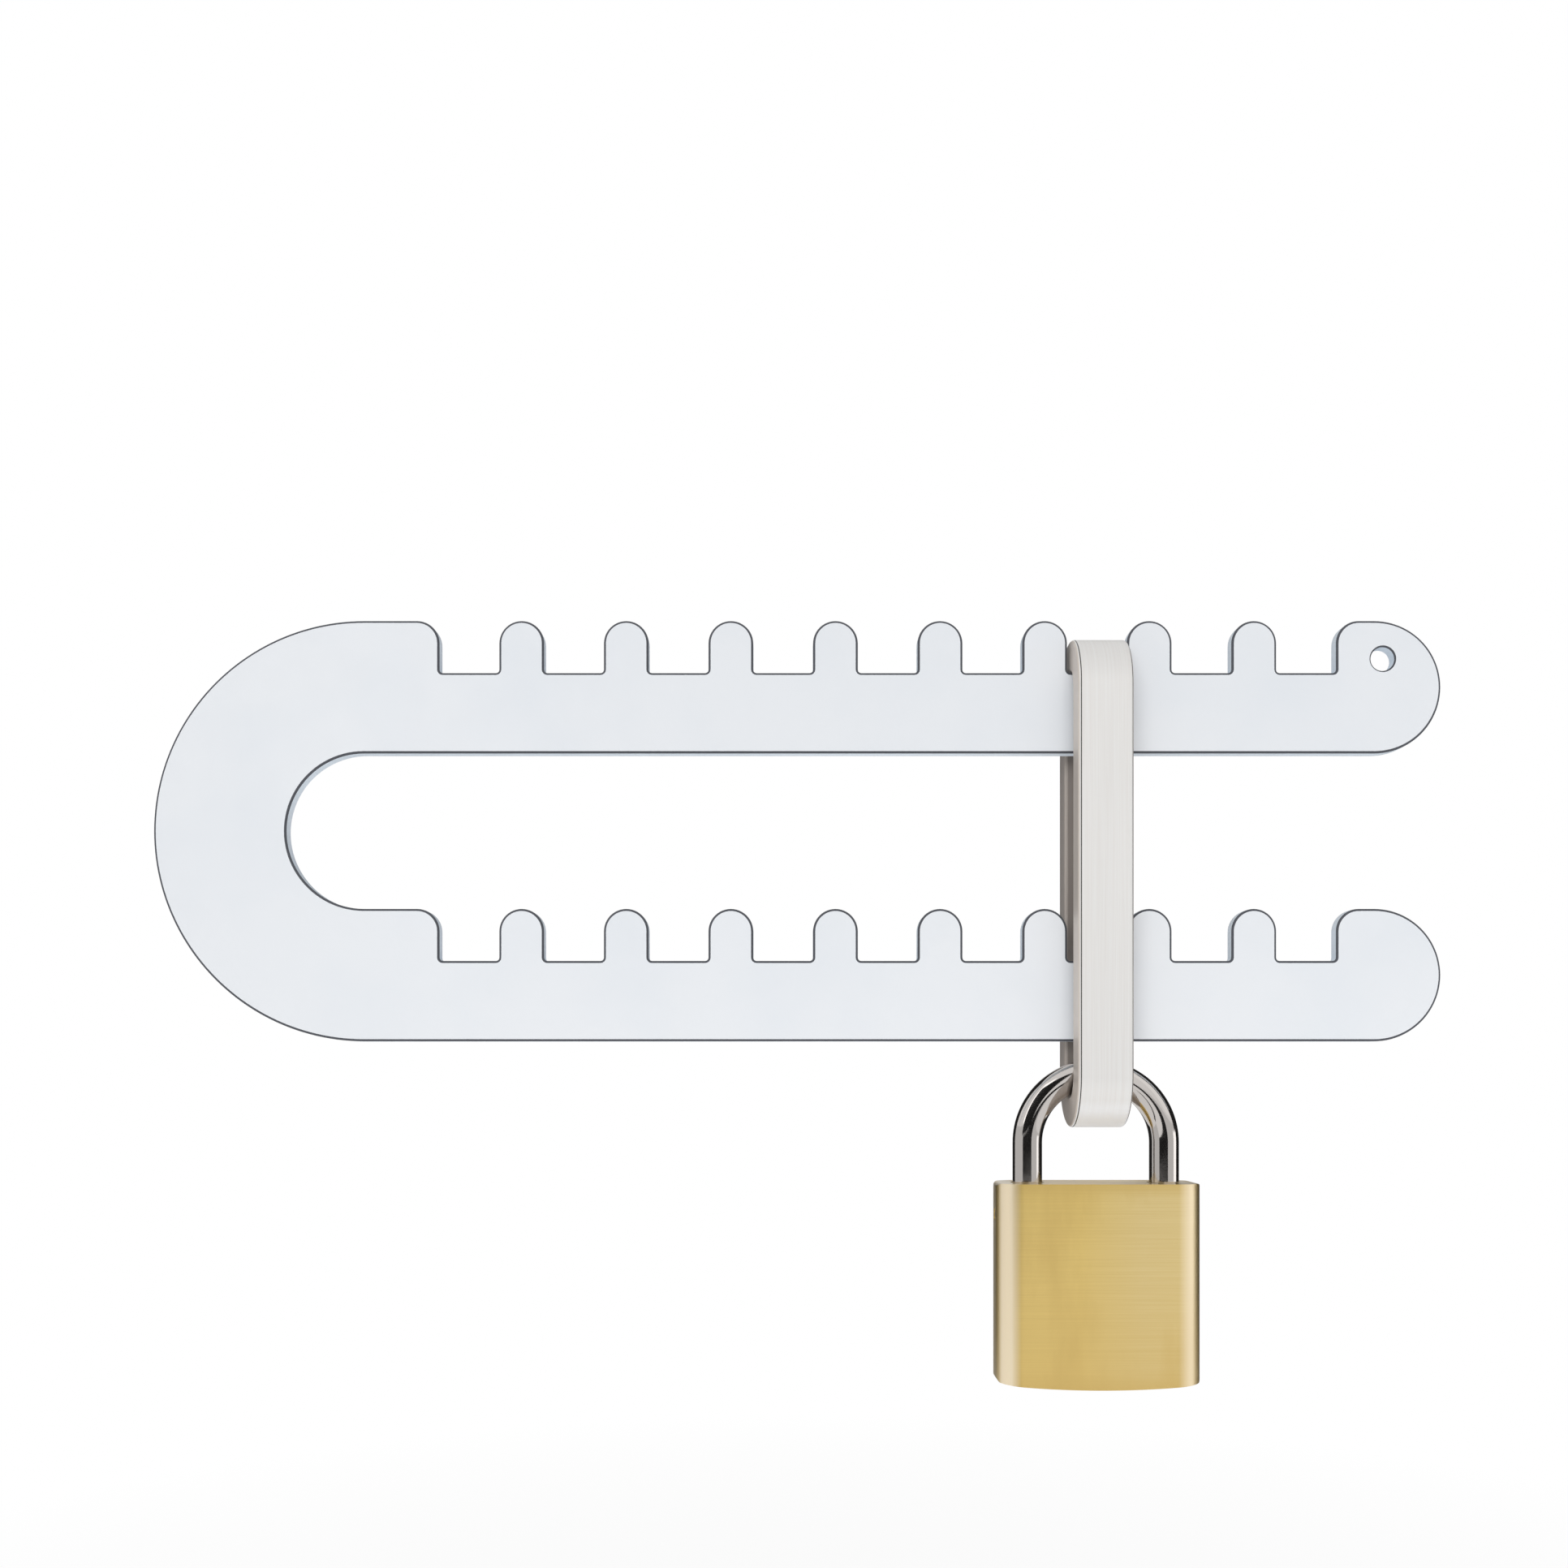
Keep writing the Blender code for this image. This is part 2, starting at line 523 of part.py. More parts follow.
def make_case(finishes, pivot):
    """The bored brass block. Its origin is in the middle of its underside, on the plug's axis."""
    half_depth = CASE_DEPTH / 2
    front = prism(case_front(), -half_depth - OVERRUN, half_depth + OVERRUN, "Y")
    case = solid("lock_case", front, finishes["brushed_brass"], pivot, (0, 0, -CASE_DROP))
    plan = rounded_rectangle(CASE_HALF_WIDTH, half_depth, CASE_ROUNDING, TOOTH_STEPS)
    boolean(case, "plan", prism(plan, -OVERRUN, CASE_HEIGHT + OVERRUN), "INTERSECT")

    core = [(0, -OVERRUN), (PLUG_BORE, -OVERRUN), (PLUG_BORE, COLLAR_BOTTOM), (CAM_BORE, COLLAR_BOTTOM)]
    core += [(CAM_BORE, CAM_TOP + FIT), (0, CAM_TOP + FIT)]
    boolean(case, "plug_bore", turned(core, sides=FINE_SIDES))
    top = CASE_HEIGHT + OVERRUN
    boolean(case, "toe_bore", cylinder(LEG_BORE, TOE_END - TOE_ROOM, top), location=(CROWN_RADIUS, 0, 0))
    boolean(case, "heel_bore", cylinder(LEG_BORE, HEEL_FLOOR, top), location=(-CROWN_RADIUS, 0, 0))

    outside = CASE_HALF_WIDTH + OVERRUN
    latch_bore = cylinder(LATCH_BORE, -CROWN_RADIUS, outside, "X")
    boolean(case, "latch_bore", latch_bore, location=(0, 0, LATCH_LEVEL))
    stop_bore = cylinder(STOP_PIN_RADIUS + FIT, -outside, -CROWN_RADIUS, "X", SMALL_SIDES)
    boolean(case, "stop_pin_bore", stop_bore, location=(0, 0, STOP_PIN_LEVEL))
    retainer_bore = cylinder(RETAINER_BORE, GROOVE_RADIUS, outside, "X", SMALL_SIDES)
    boolean(case, "retainer_bore", retainer_bore, location=(0, 0, GROOVE_LEVEL))
    for i, level in enumerate(PIN_LEVELS, start=1):
        chamber = cylinder(PIN_BORE, GROOVE_RADIUS, outside, "X", SMALL_SIDES)
        boolean(case, f"chamber_{i}", chamber, location=(0, 0, level))
    return case


# Plug and pins
def keyway_outline():
    """The keyway across the plug, open at one side, with one ward."""
    half = KEYWAY_WIDTH / 2
    mouth = -PLUG_RADIUS - OVERRUN
    ward = -PLUG_RADIUS / 2
    return [
        (mouth, -half),
        (KEYWAY_REACH, -half),
        (KEYWAY_REACH, half),
        (ward + WARD_HEIGHT, half),
        (ward + WARD_HEIGHT, half - WARD_DEPTH),
        (ward, half - WARD_DEPTH),
        (ward, half),
        (mouth, half),
    ]


def make_plug(finishes, plug_axis):
    """The plug, drawn with its pin bores towards +X and turned with plug_axis."""
    low = GROOVE_LEVEL - RETAINER_BORE
    high = GROOVE_LEVEL + RETAINER_BORE
    profile = [(0, FIT), (PLUG_RADIUS, FIT), (PLUG_RADIUS, low), (GROOVE_RADIUS, low)]
    profile += [(GROOVE_RADIUS, high), (PLUG_RADIUS, high), (PLUG_RADIUS, PLUG_TOP), (0, PLUG_TOP)]
    plug = solid("plug", turned(profile, sides=FINE_SIDES), finishes["plain_brass"], plug_axis)
    keyway = prism(keyway_outline(), FIT - OVERRUN, PIN_LEVELS[-1] + KEYWAY_TAIL)
    boolean(plug, "keyway", keyway)
    tongue_room = TONGUE_WIDTH / 2 + FIT
    reach = PLUG_RADIUS + OVERRUN
    slot = box((-tongue_room, tongue_room), (-reach, reach), (SLOT_FLOOR, PLUG_TOP + OVERRUN))
    boolean(plug, "tongue_slot", slot)
    for i, level in enumerate(PIN_LEVELS, start=1):
        bore = cylinder(PIN_BORE, 0, reach, "X", SMALL_SIDES)
        boolean(plug, f"pin_bore_{i}", bore, location=(0, 0, level))


def make_pin_stack(number, level, length, finishes, case, plug_axis):
    """Key pin, driver pin, spring and cap of one chamber."""
    top = PLUG_RADIUS - FIT
    key_pin = [(0, top - length), (PIN_RADIUS, top - length + PIN_POINT), (PIN_RADIUS, top), (0, top)]
    here = (0, 0, level)
    solid(f"key_pin_{number}", turned(key_pin, "X", SMALL_SIDES), finishes["plain_brass"], plug_axis, here)
    driver = cylinder(PIN_RADIUS, DRIVER_START, DRIVER_START + DRIVER_LENGTH, "X", SMALL_SIDES)
    solid(f"driver_pin_{number}", driver, finishes["plain_brass"], case, here)
    coil(
        f"pin_spring_{number}",
        PIN_RADIUS - PIN_SPRING_WIRE / 2,
        PIN_SPRING_WIRE,
        SPRING_START,
        SPRING_START + PIN_SPRING_LENGTH,
        PIN_SPRING_TURNS,
        finishes["spring_steel"],
        case,
        here,
        along="X",
    )
    cap = cylinder(PIN_RADIUS, CAP_START, SIDE_END, "X", SMALL_SIDES)
    solid(f"chamber_cap_{number}", cap, finishes["plain_brass"], case, here)


# Cam and latches
def cam_outline():
    """Two lobes whose flat followers move out by the same step for each step of the key.

    A flat face square to the angle a touches the lobe at CAM_BASE + CAM_LEAD * a from the axis, and CAM_LEAD to
    one side of it. The second lobe is the first one, half a turn on.
    """
    points = []
    for half_turn in (0, math.pi):
        for i in range(CAM_STEPS + 1):
            share = i / CAM_STEPS
            reach = CAM_BASE + LATCH_TRAVEL * share
            a = KEY_TURN * share + half_turn
            x = reach * math.cos(a) - CAM_LEAD * math.sin(a)
            y = reach * math.sin(a) + CAM_LEAD * math.cos(a)
            points.append((x, y))
    return points


def make_cam(finishes, case):
    """The cam on its stem, with the tongue that stands in the plug's slot, drawn with the latches drawn in."""
    collar = CAM_BORE - FIT
    middle = (COLLAR_BOTTOM + COLLAR_TOP) / 2
    profile = [(0, COLLAR_BOTTOM), (collar, COLLAR_BOTTOM), (collar, COLLAR_TOP), (STEM_RADIUS, COLLAR_TOP)]
    profile += [(STEM_RADIUS, LATCH_LEVEL), (0, LATCH_LEVEL)]
    cam = solid("actuator_cam", turned(profile), finishes["hard_steel"], case)
    boolean(cam, "lobes", prism(cam_outline(), CAM_BOTTOM, CAM_TOP), "UNION")
    half_length = TONGUE_LENGTH / 2
    half_width = TONGUE_WIDTH / 2
    tongue = box((-half_length, half_length), (-half_width, half_width), (SLOT_FLOOR + FIT, middle))
    boolean(cam, "tongue", tongue, "UNION")


def make_latches(finishes, case):
    profile = [(0, LATCH_FACE), (LATCH_RADIUS, LATCH_FACE)] + nose_profile(LATCH_TIP, 0)
    for name, side in (("latch_toe", 1), ("latch_heel", -1)):
        solid(name, facing(turned(profile, "X"), side), finishes["hard_steel"], case, (0, 0, LATCH_LEVEL))


# Pins and caps pressed into the case
def make_pressed_pins(finishes, case):
    bite = CROWN_RADIUS + ROD_RADIUS - STOP_PIN_BITE
    stop_pin = cylinder(STOP_PIN_RADIUS, -SIDE_END, -bite, "X", SMALL_SIDES)
    solid("heel_stop_pin", stop_pin, finishes["hard_steel"], case, (0, 0, STOP_PIN_LEVEL))
    retainer = cylinder(RETAINER_RADIUS, GROOVE_RADIUS + FIT, SIDE_END, "X", SMALL_SIDES)
    solid("plug_retaining_pin", retainer, finishes["hard_steel"], case, (0, 0, GROOVE_LEVEL))
    cap = cylinder(LATCH_RADIUS, CROWN_RADIUS + LEG_BORE + FIT, SIDE_END, "X")
    solid("latch_bore_cap", cap, finishes["plain_brass"], case, (0, 0, LATCH_LEVEL))


def make_padlock(finishes):
    pivot = place("padlock_pivot", None, location=(LOOP_X, 0, PIVOT_Z))
    make_shackle(finishes, pivot)
    case = make_case(finishes, pivot)
    plug_axis = place("plug_axis", None, parent=case)
    plug_axis.rotation_euler.z = KEY_TURN
    make_plug(finishes, plug_axis)
    for number, (level, share) in enumerate(zip(PIN_LEVELS, itertools.cycle(KEY_PIN_SHARES)), start=1):
        make_pin_stack(number, level, share * PLUG_RADIUS, finishes, case, plug_axis)
    make_cam(finishes, case)
    make_latches(finishes, case)
    make_pressed_pins(finishes, case)
    coil(
        "shackle_spring",
        ROD_RADIUS - POP_SPRING_WIRE / 2,
        POP_SPRING_WIRE,
        POP_SPRING_FLOOR,
        POP_SPRING_FLOOR + POP_SPRING_LENGTH,
        POP_SPRING_TURNS,
        finishes["spring_steel"],
        case,
        (-CROWN_RADIUS, 0, 0),
    )


def main():
    clear_scene()
    finishes = all_finishes()
    make_plate(finishes)
    make_loop(finishes)
    make_padlock(finishes)


if __name__ == "__main__":
    main()
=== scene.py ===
"""Double door handle lock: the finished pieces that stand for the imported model's solids.

The file is laid out as an add-on and run as a script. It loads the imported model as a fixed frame, models each
piece in place round it, gives it its finish, and sets up the camera, the lights and a plain pale floor.
"""

import math

import bmesh
import bpy
from bmesh.types import BMEdge, BMVert
from bpy.props import FloatProperty, FloatVectorProperty, IntProperty, PointerProperty
from bpy.types import Operator, Panel, PropertyGroup
from mathutils import Matrix, Vector


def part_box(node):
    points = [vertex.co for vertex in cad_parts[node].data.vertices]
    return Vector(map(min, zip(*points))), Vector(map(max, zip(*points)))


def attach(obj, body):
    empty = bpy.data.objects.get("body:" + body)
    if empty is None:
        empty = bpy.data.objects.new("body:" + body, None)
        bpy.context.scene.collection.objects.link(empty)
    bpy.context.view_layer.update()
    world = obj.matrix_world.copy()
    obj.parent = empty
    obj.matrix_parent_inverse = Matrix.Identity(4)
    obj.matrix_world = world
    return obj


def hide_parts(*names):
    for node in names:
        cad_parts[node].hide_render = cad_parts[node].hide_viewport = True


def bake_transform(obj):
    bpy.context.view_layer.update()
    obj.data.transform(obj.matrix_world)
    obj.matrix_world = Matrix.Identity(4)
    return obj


bl_info = {
    "name": "Double Door Handle Lock",
    "version": (1, 0, 0),
    "blender": (4, 5, 0),
    "location": "View3D > Sidebar > Handle Lock",
    "description": "Models a notched U plate with its locking loop and brass padlock",
    "category": "Add Mesh",
}

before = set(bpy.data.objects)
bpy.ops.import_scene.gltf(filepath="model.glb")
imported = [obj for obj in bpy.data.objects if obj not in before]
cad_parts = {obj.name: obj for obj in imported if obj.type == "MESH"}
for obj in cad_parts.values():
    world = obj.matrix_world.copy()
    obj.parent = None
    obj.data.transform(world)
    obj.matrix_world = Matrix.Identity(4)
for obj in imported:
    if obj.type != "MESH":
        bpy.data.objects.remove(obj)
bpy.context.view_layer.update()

MM = 0.001
MERGE = 0.001 * MM  # points closer than this are one point
OVERRUN = 1.0 * MM  # how far a cutter runs past the face that it opens
FIT = 0.3 * MM  # gap between pieces that touch, or that slide or turn in one another
SHARP = math.radians(32)  # an edge sharper than this keeps its crease
RIGHT_ANGLE = math.pi / 2
FULL_TURN = 2 * math.pi
ORIGIN = (0, 0, 0)
UP = (0, 0, 1)

# Narrow broken edges
FINE_EDGE = 0.03 * MM
BORE_EDGE = 0.1 * MM
PIN_EDGE = 0.15 * MM
PRESSED_EDGE = 0.2 * MM
WARD_EDGE = 0.2 * MM

# How many straight steps stand for a curve
ROD_SIDES = 64
PIN_SIDES = 32
BORE_SIDES = 48
WIRE_SIDES = 12
CROWN_STEPS = 64
LOOP_STEPS = 40
EDGE_STEPS = 5
RIM_STEPS = 2
BEND_STEPS = 48
ARM_END_STEPS = 24
TOOTH_STEPS = 12
FILLET_STEPS = 4
CASE_CORNER_STEPS = 12
KEYWAY_STEPS = 8
WARD_STEPS = 3
LOBE_STEPS = 16
CARD_STEPS = 24
COIL_STEPS = 24  # for each turn

PIN_NUMBERS = range(1, 6)
PIN_SPRING_TURNS = 5
SHACKLE_SPRING_TURNS = 4
KEYWAY_TAIL = 1.6 * MM  # how far the keyway goes on past the last pin
KEYWAY_ROUND = 0.99  # radius of the keyway's end, as a share of half its width

# The materials of a piece, by number, and how a face's normal tells which it gets
COAT, RIM, WALL = range(3)
FACE, LINE, SIDE, INSIDE = range(4)
LIES_ACROSS = 0.999  # the least share of an axis in the normal of a face that lies across it
RUNS_ALONG = 0.05  # the most in the normal of a face that runs along it
LINE_LEANS = ((-0.2, -0.1), (0.65, 0.8))  # how far the faces with the painted dark line lean sideways
SIDE_LEAN = 0.6  # a face that leans further belongs to the loop's narrow side

# A Mix node's sockets where it mixes colours
MIX_SHARE, MIX_FIRST, MIX_SECOND = 0, 6, 7
MIX_RESULT = 2

PATTERN_MIDDLE = (0.3, 0.7)  # where most of a pattern's values lie
MARK_SHADE = 0.72  # how dark the marks in steel are

# How often a finish's pattern repeats in a metre, along X, Y and Z
COAT_CLOUDS = (26, 26, 26)
COAT_MOTTLE = (140, 140, 140)
COAT_PEEL = (620, 620, 620)
STEEL_STROKES = (2400, 30, 30)
STEEL_BANDS = (300, 30, 30)
CHROME_BLOOM = (90, 90, 90)
CHROME_RIPPLE = (160, 160, 60)
BRASS_STROKES = (30, 30, 3600)
BRASS_CLOUDS = (80, 80, 22)
LATHE_RINGS = (1400, 1400, 1400)
LATHE_CLOUDS = (300, 300, 300)
CAM_MARKS = (700, 700, 2400)
LATCH_MARKS = (2200, 700, 700)
PIN_WIRE_MARKS = (3000, 3000, 3000)
SHACKLE_WIRE_MARKS = (1500, 1500, 1500)

# Stage. Azimuths are in degrees, from the front to the right
WHITE = (1, 1, 1, 1)
FLOOR_GREY = (0.9, 0.9, 0.9)
FLOOR_SIZE = 4.0
FLOOR_FADE = (0.2, 0.6, 0.85, 1.0)  # between two distances, from one share of white to another
KEY_AZIMUTH = -20
FILL_AZIMUTH = 0
LIGHT_ELEVATION = math.radians(14)
SOFT = math.radians(30)  # how wide a sun looks
TABLE_LIGHT = 0.6  # length of its sides
TABLE_GAP = 5 * MM
CARD_CENTRE = -0.12  # level of the cards' middle
NEAR_LIMIT = 10 * MM  # the camera shows nothing nearer

# What metal shows round the camera: (name, azimuths, elevations in degrees, brightness, distance)
CARDS = (
    ("front_flag", (-56, -5), (5, 46), 0.02, 0.20),
    ("left_strip", (-62, -32), (14, 52), 2.0, 0.40),
    ("right_strip", (50, 82), (14, 52), 1.15, 0.41),
    ("leg_flag", (-46, 21), (-6, 3.5), 0.02, 0.42),
    ("low_flag", (-45, -4), (-46, -20), 0.05, 0.43),
    ("leg_strip", (68, 94), (-7, 5), 1.7, 0.44),
    ("left_back_flag", (-168, -118), (-20, 50), 0.02, 0.45),
    ("left_grey_card", (-118, -46), (-20, 12), 0.72, 0.46),
    ("right_grey_card", (20, 84), (-9, 10), 0.75, 0.47),
    ("right_side_flag", (84, 160), (6, 50), 0.02, 0.48),
    ("right_low_flag", (92, 160), (-50, -6), 0.02, 0.485),
    ("right_back_flag", (94, 166), (-20, 6), 0.02, 0.49),
    ("back_card", (158, 197), (-20, 50), 0.6, 0.50),
)


def middle(node):
    low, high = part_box(node)
    return (low + high) / 2


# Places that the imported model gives
PLATE_LOW, PLATE_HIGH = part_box("u_plate")
LOOP_LOW, LOOP_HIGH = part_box("locking_loop")
CASE_LOW, CASE_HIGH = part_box("lock_case")
SHACKLE_LOW, SHACKLE_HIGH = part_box("shackle")
PLUG_LOW, PLUG_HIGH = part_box("plug")
CAM_LOW, CAM_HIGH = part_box("actuator_cam")
PLUG_AXIS = middle("lock_case").x
PLUG_CENTRE = (PLUG_AXIS, 0, 0)
LATCH_LEVEL = middle("latch_toe").z
GROOVE_LEVEL = middle("plug_retaining_pin").z
STOP_PIN_LEVEL = middle("heel_stop_pin").z
PIN_LEVELS = [middle(f"chamber_cap_{number}").z for number in PIN_NUMBERS]

# Where the colour of a piece changes: from one place to another along X or up Z
# Painted highlight: the outside of the loop's lower bend is coloured brighter
BEND_PAINTED_LIGHT = (LOOP_LOW.z + 8 * MM, LOOP_LOW.z + 2 * MM)
PALER_HALF = (PLUG_AXIS - 6 * MM, PLUG_AXIS + 12 * MM)

# Painted shade, darker brass towards the case's ends: (end, way inwards, share)
PAINTED_SHADE_AT_ENDS = (
    (CASE_LOW.z, 40 * MM, 0.55),
    (CASE_LOW.z, 5 * MM, 0.7),
    (CASE_HIGH.z, -4 * MM, 0.7),
)

# Painted highlights, pale bands down the case's corners: (edge, way inwards, share, where a band starts, is
# full, fades and ends)
PAINTED_CORNER_HIGHLIGHTS = (
    (CASE_LOW.x, 1, 1.0, (6.4 * MM, 3.8 * MM, 1.2 * MM, 0)),
    (CASE_HIGH.x, -1, 0.75, (7.8 * MM, 4.6 * MM, 3.6 * MM, 1.0 * MM)),
)


# Settings
def amount(name, default, description, **unit):
    return FloatProperty(name=name, description=description, default=default, min=0.0, **unit)


def length(name, millimetres, description):
    return amount(name, millimetres * MM, description, precision=5, subtype="DISTANCE", unit="LENGTH")


def colour(name, screen, description):
    """A colour given as red, green and blue from 0 to 255 as a screen shows it."""
    linear = [((channel / 255 + 0.055) / 1.055) ** 2.4 for channel in screen]
    limits = {"size": 3, "min": 0.0, "max": 1.0}
    return FloatVectorProperty(
        name=name, description=description, default=linear, subtype="COLOR", **limits
    )


class PlateSettings(PropertyGroup):
    arm_root: length("Arm root", 23.8, "Height of an arm below its notches")
    arm_gap: length("Arm gap", 46.0, "From the upper arm's underside to the lower arm's teeth")
    tooth_height: length("Tooth height", 15.4, "From a notch's floor to the teeth's tips")
    tooth_width: length("Tooth width", 13.25, "Width of a tooth")
    notch_width: length("Notch width", 17.7, "Width of a notch")
    notch_fillet: length("Notch fillet", 1.0, "Radius in a notch's corners")
    bend_lead: length("Bend lead", 22.3, "From the bend's centre to the first notch")
    rim: length("Rim", 0.45, "Width of the broken edge round the outline")
    # The strip beside the broken edge takes the same dark painted shade
    thin_edge: length("Thin edge", 0.2, "Width of the thin coating beside the broken edge")
    tether_radius: length("Tether hole", 3.5, "Radius of the hole in the upper arm's end")
    tether_along: length("Tether hole along", 2.45, "From the centre of the arm's round end")
    tether_up: length("Tether hole up", 8.35, "From the centre of the arm's round end")
    notches: IntProperty(name="Notches", description="Notches in each arm", default=9, min=1)
    coat: colour("Coating", (232, 235, 239), "Colour of the powder coating")
    coat_shade: colour("Coating shade", (228, 232, 237), "The coating where it is a little thinner")
    # Painted shade: a dark line along the broken edge and the strip beside it
    rim_painted_shade: colour("Rim", (84, 86, 92), "The coating's broken edge")
    # Painted light: the cut walls are coloured paler and bluer than the same coating on the face
    wall_painted_light: colour("Cut walls", (232, 242, 252), "The coating on the cut walls")


class LoopSettings(PropertyGroup):
    thickness: length("Thickness", 9.0, "Thickness of the flat bar")
    edge: length("Edge", 1.0, "Rounding along the bar's four edges")
    steel: colour("Steel", (226, 225, 223), "Colour of the satin steel")
    shade: colour("Shade", (220, 217, 214), "Darker strokes in the satin steel")
    # Painted highlight: the outside of the lower bend is coloured brighter and bluer than the steel
    bend: colour("Lower bend", (248, 250, 255), "The outside of the lower bend, which is ground brighter")
    # Painted shade: the narrow sides are coloured darker than the face, and darker still towards the back
    side: colour("Side", (212, 202, 193), "The bar's narrow sides")
    side_painted_shade: colour("Side shade", (150, 141, 135), "The narrow sides towards the back")
    # Painted shade: the inner face, which lies in shadow, is coloured darker
    inside: colour("Inside", (154, 146, 140), "The bar's inner face, left as it was rolled")
    # Painted shade: a dark line beside the rounded edges
    line: colour("Edge line", (72, 68, 66), "Burnished line beside each rounded edge")


class PadlockSettings(PropertyGroup):
    rod_radius: length("Rod radius", 4.35, "Radius of the shackle's rod")
    leg_spacing: length("Leg spacing", 40.6, "Between the middles of the shackle's legs")
    leg_chamfer: length("Leg chamfer", 1.2, "Broken edge at the ends of the shackle")
    toe_tail: length("Toe tail", 4.0, "Toe leg below its latch")
    toe_room: length("Toe room", 1.0, "Free below the toe leg")
    neck_radius: length("Neck radius", 2.05, "The heel leg where its latch lets it turn")
    release_travel: length("Release travel", 17.0, "How far the case drops from the shackle")
    spring_length: length("Shackle spring", 10.4, "Length of the shackle's spring")
    spring_wire: length("Shackle spring wire", 1.2, "Thickness of the shackle spring's wire")
    rounding: length("Case rounding", 7.5, "Radius of the case's upright edges")
    dome: length("Dome", 1.6, "How far the case's underside bellies")
    top_corner: length("Top corner", 1.5, "Rounding of the case's upper edges")
    bottom_corner: length("Bottom corner", 1.7, "Rounding of the case's lower edges")
    mouth: length("Bore mouth", 0.35, "Broken edge round the bores")
    plug_radius: length("Plug radius", 6.0, "Radius of the plug")
    keyway_width: length("Keyway width", 2.4, "Width of the keyway")
    keyway_reach: length("Keyway reach", 3.6, "How far the keyway goes past the plug's axis")
    ward_depth: length("Ward depth", 0.5, "How far the ward stands into the keyway")
    ward_height: length("Ward height", 1.6, "Height of the ward")
    groove_radius: length("Groove radius", 4.8, "The plug where its retaining pin holds it")
    pin_radius: length("Pin radius", 1.3, "Radius of the key pins, driver pins and caps")
    pin_point: length("Pin point", 1.0, "Length of a key pin's point")
    pin_wire: length("Pin spring wire", 0.4, "Thickness of the pin springs' wire")
    retainer_radius: length("Retaining pin", 1.25, "Radius of the plug's retaining pin")
    stop_pin_radius: length("Stop pin", 1.5, "Radius of the pin that stops the heel leg")
    stop_pin_bite: length("Stop pin bite", 1.65, "How far the stop pin reaches into the leg")
    latch_radius: length("Latch radius", 3.0, "Radius of the two latches")
    latch_travel: length("Latch travel", 2.3, "How far the plug throws a latch")
    nose_radius: length("Nose radius", 1.6, "Radius of a latch's nose")
    nose_length: length("Nose length", 3.05, "Length of a latch's nose")
    cam_base: length("Cam base", 3.0, "From the cam's axis to the latches' faces")
    collar_radius: length("Collar radius", 5.5, "Radius of the cam's collar")
    collar_height: length("Collar height", 4.0, "Height of the cam's collar")
    stem_radius: length("Stem radius", 2.2, "Radius of the cam's stem")
    tongue_width: length("Tongue width", 3.0, "Width of the tongue that turns the cam")
    tongue_length: length("Tongue length", 8.0, "Length of the tongue that turns the cam")
    chrome: colour("Chrome", (198, 193, 189), "Colour of the shackle's chrome")
    brass: colour("Brass", (240, 210, 126), "Colour of the case's brushed brass")
    brass_pale: colour("Pale brass", (237, 213, 149), "Paler places in the brushed brass")
    # Painted highlight: a pale colour laid down the case's upright edges
    brass_painted_highlight: colour("Brass sheen", (252, 235, 202), "The brass along the case's upright edges")
    brass_light: colour("Light brass", (227, 203, 146), "Lighter places in the turned brass")
    # The darker brass of the strokes and blotches, also used as painted shade towards the case's ends
    brass_grain_and_shade: colour("Dark brass", (219, 186, 106), "Darker strokes in the brushed brass")
    turned: colour("Turned brass", (194, 163, 98), "Colour of the turned brass inside")
    hard_steel: colour("Hard steel", (150, 152, 156), "Colour of the hardened steel")
    wire_steel: colour("Spring steel", (120, 122, 126), "Colour of the springs")


class StageSettings(PropertyGroup):
    distance: length("Camera distance", 465.0, "From the camera to the plate")
    view_width: length("View width", 463.7, "Width of the picture at the plate")
    view_across: length("View across", -25.2, "Middle of the picture, along the arms")
    view_up: length("View up", -9.1, "Middle of the picture, up from the arm's underside")
    eye_up: length("Eye level", -95.0, "Height of the camera")
    floor_drop: length("Floor drop", 120.0, "From the lock case down to the floor")
    ambient: amount("Ambient", 0.47, "Light from all round")
    key: amount("Key light", 0.78, "Strength of the light from the left")
    fill: amount("Fill light", 0.66, "Strength of the light from the front")
    table: amount("Table light", 0.6, "Brightness of the light from below")
    softness: amount("Softness", SOFT, "How wide the lights look", subtype="ANGLE", unit="ROTATION")


# Shapes
def only(kind, geom):
    """Those parts of a mesh that are of one kind."""
    return [part for part in geom if isinstance(part, kind)]


def spun(bm, geom, centre, axis, angle, steps, **options):
    """Turns parts of a mesh about an axis, and returns their last copy."""
    made = bmesh.ops.spin(bm, geom=geom, cent=centre, axis=axis, angle=angle, steps=steps, **options)
    return made["geom_last"]


def aimed(bm, along, place):
    """Points a piece that stands along Z along another axis, and moves it to its place."""
    turn = {
        "X": Matrix.Rotation(RIGHT_ANGLE, 4, "Y"),
        "-X": Matrix.Rotation(-RIGHT_ANGLE, 4, "Y"),
        "Y": Matrix.Rotation(-RIGHT_ANGLE, 4, "X"),
        "Z": Matrix.Identity(4),
    }[along]
    bmesh.ops.transform(bm, matrix=Matrix.Translation(place) @ turn, verts=bm.verts)
    return bm


def turned(profile, along, place, sides=PIN_SIDES):
    """A closed solid of revolution, from (radius, level) points that go from one end to the other."""
    bm = bmesh.new()
    verts = [bm.verts.new((radius, 0, level)) for radius, level in profile]
    edges = [bm.edges.new(pair) for pair in zip(verts, verts[1:])]
    spun(bm, verts + edges, ORIGIN, UP, FULL_TURN, sides, use_merge=True)
    return aimed(bm, along, place)


def moved(bm, offset):
    bmesh.ops.translate(bm, verts=bm.verts, vec=offset)
    return bm


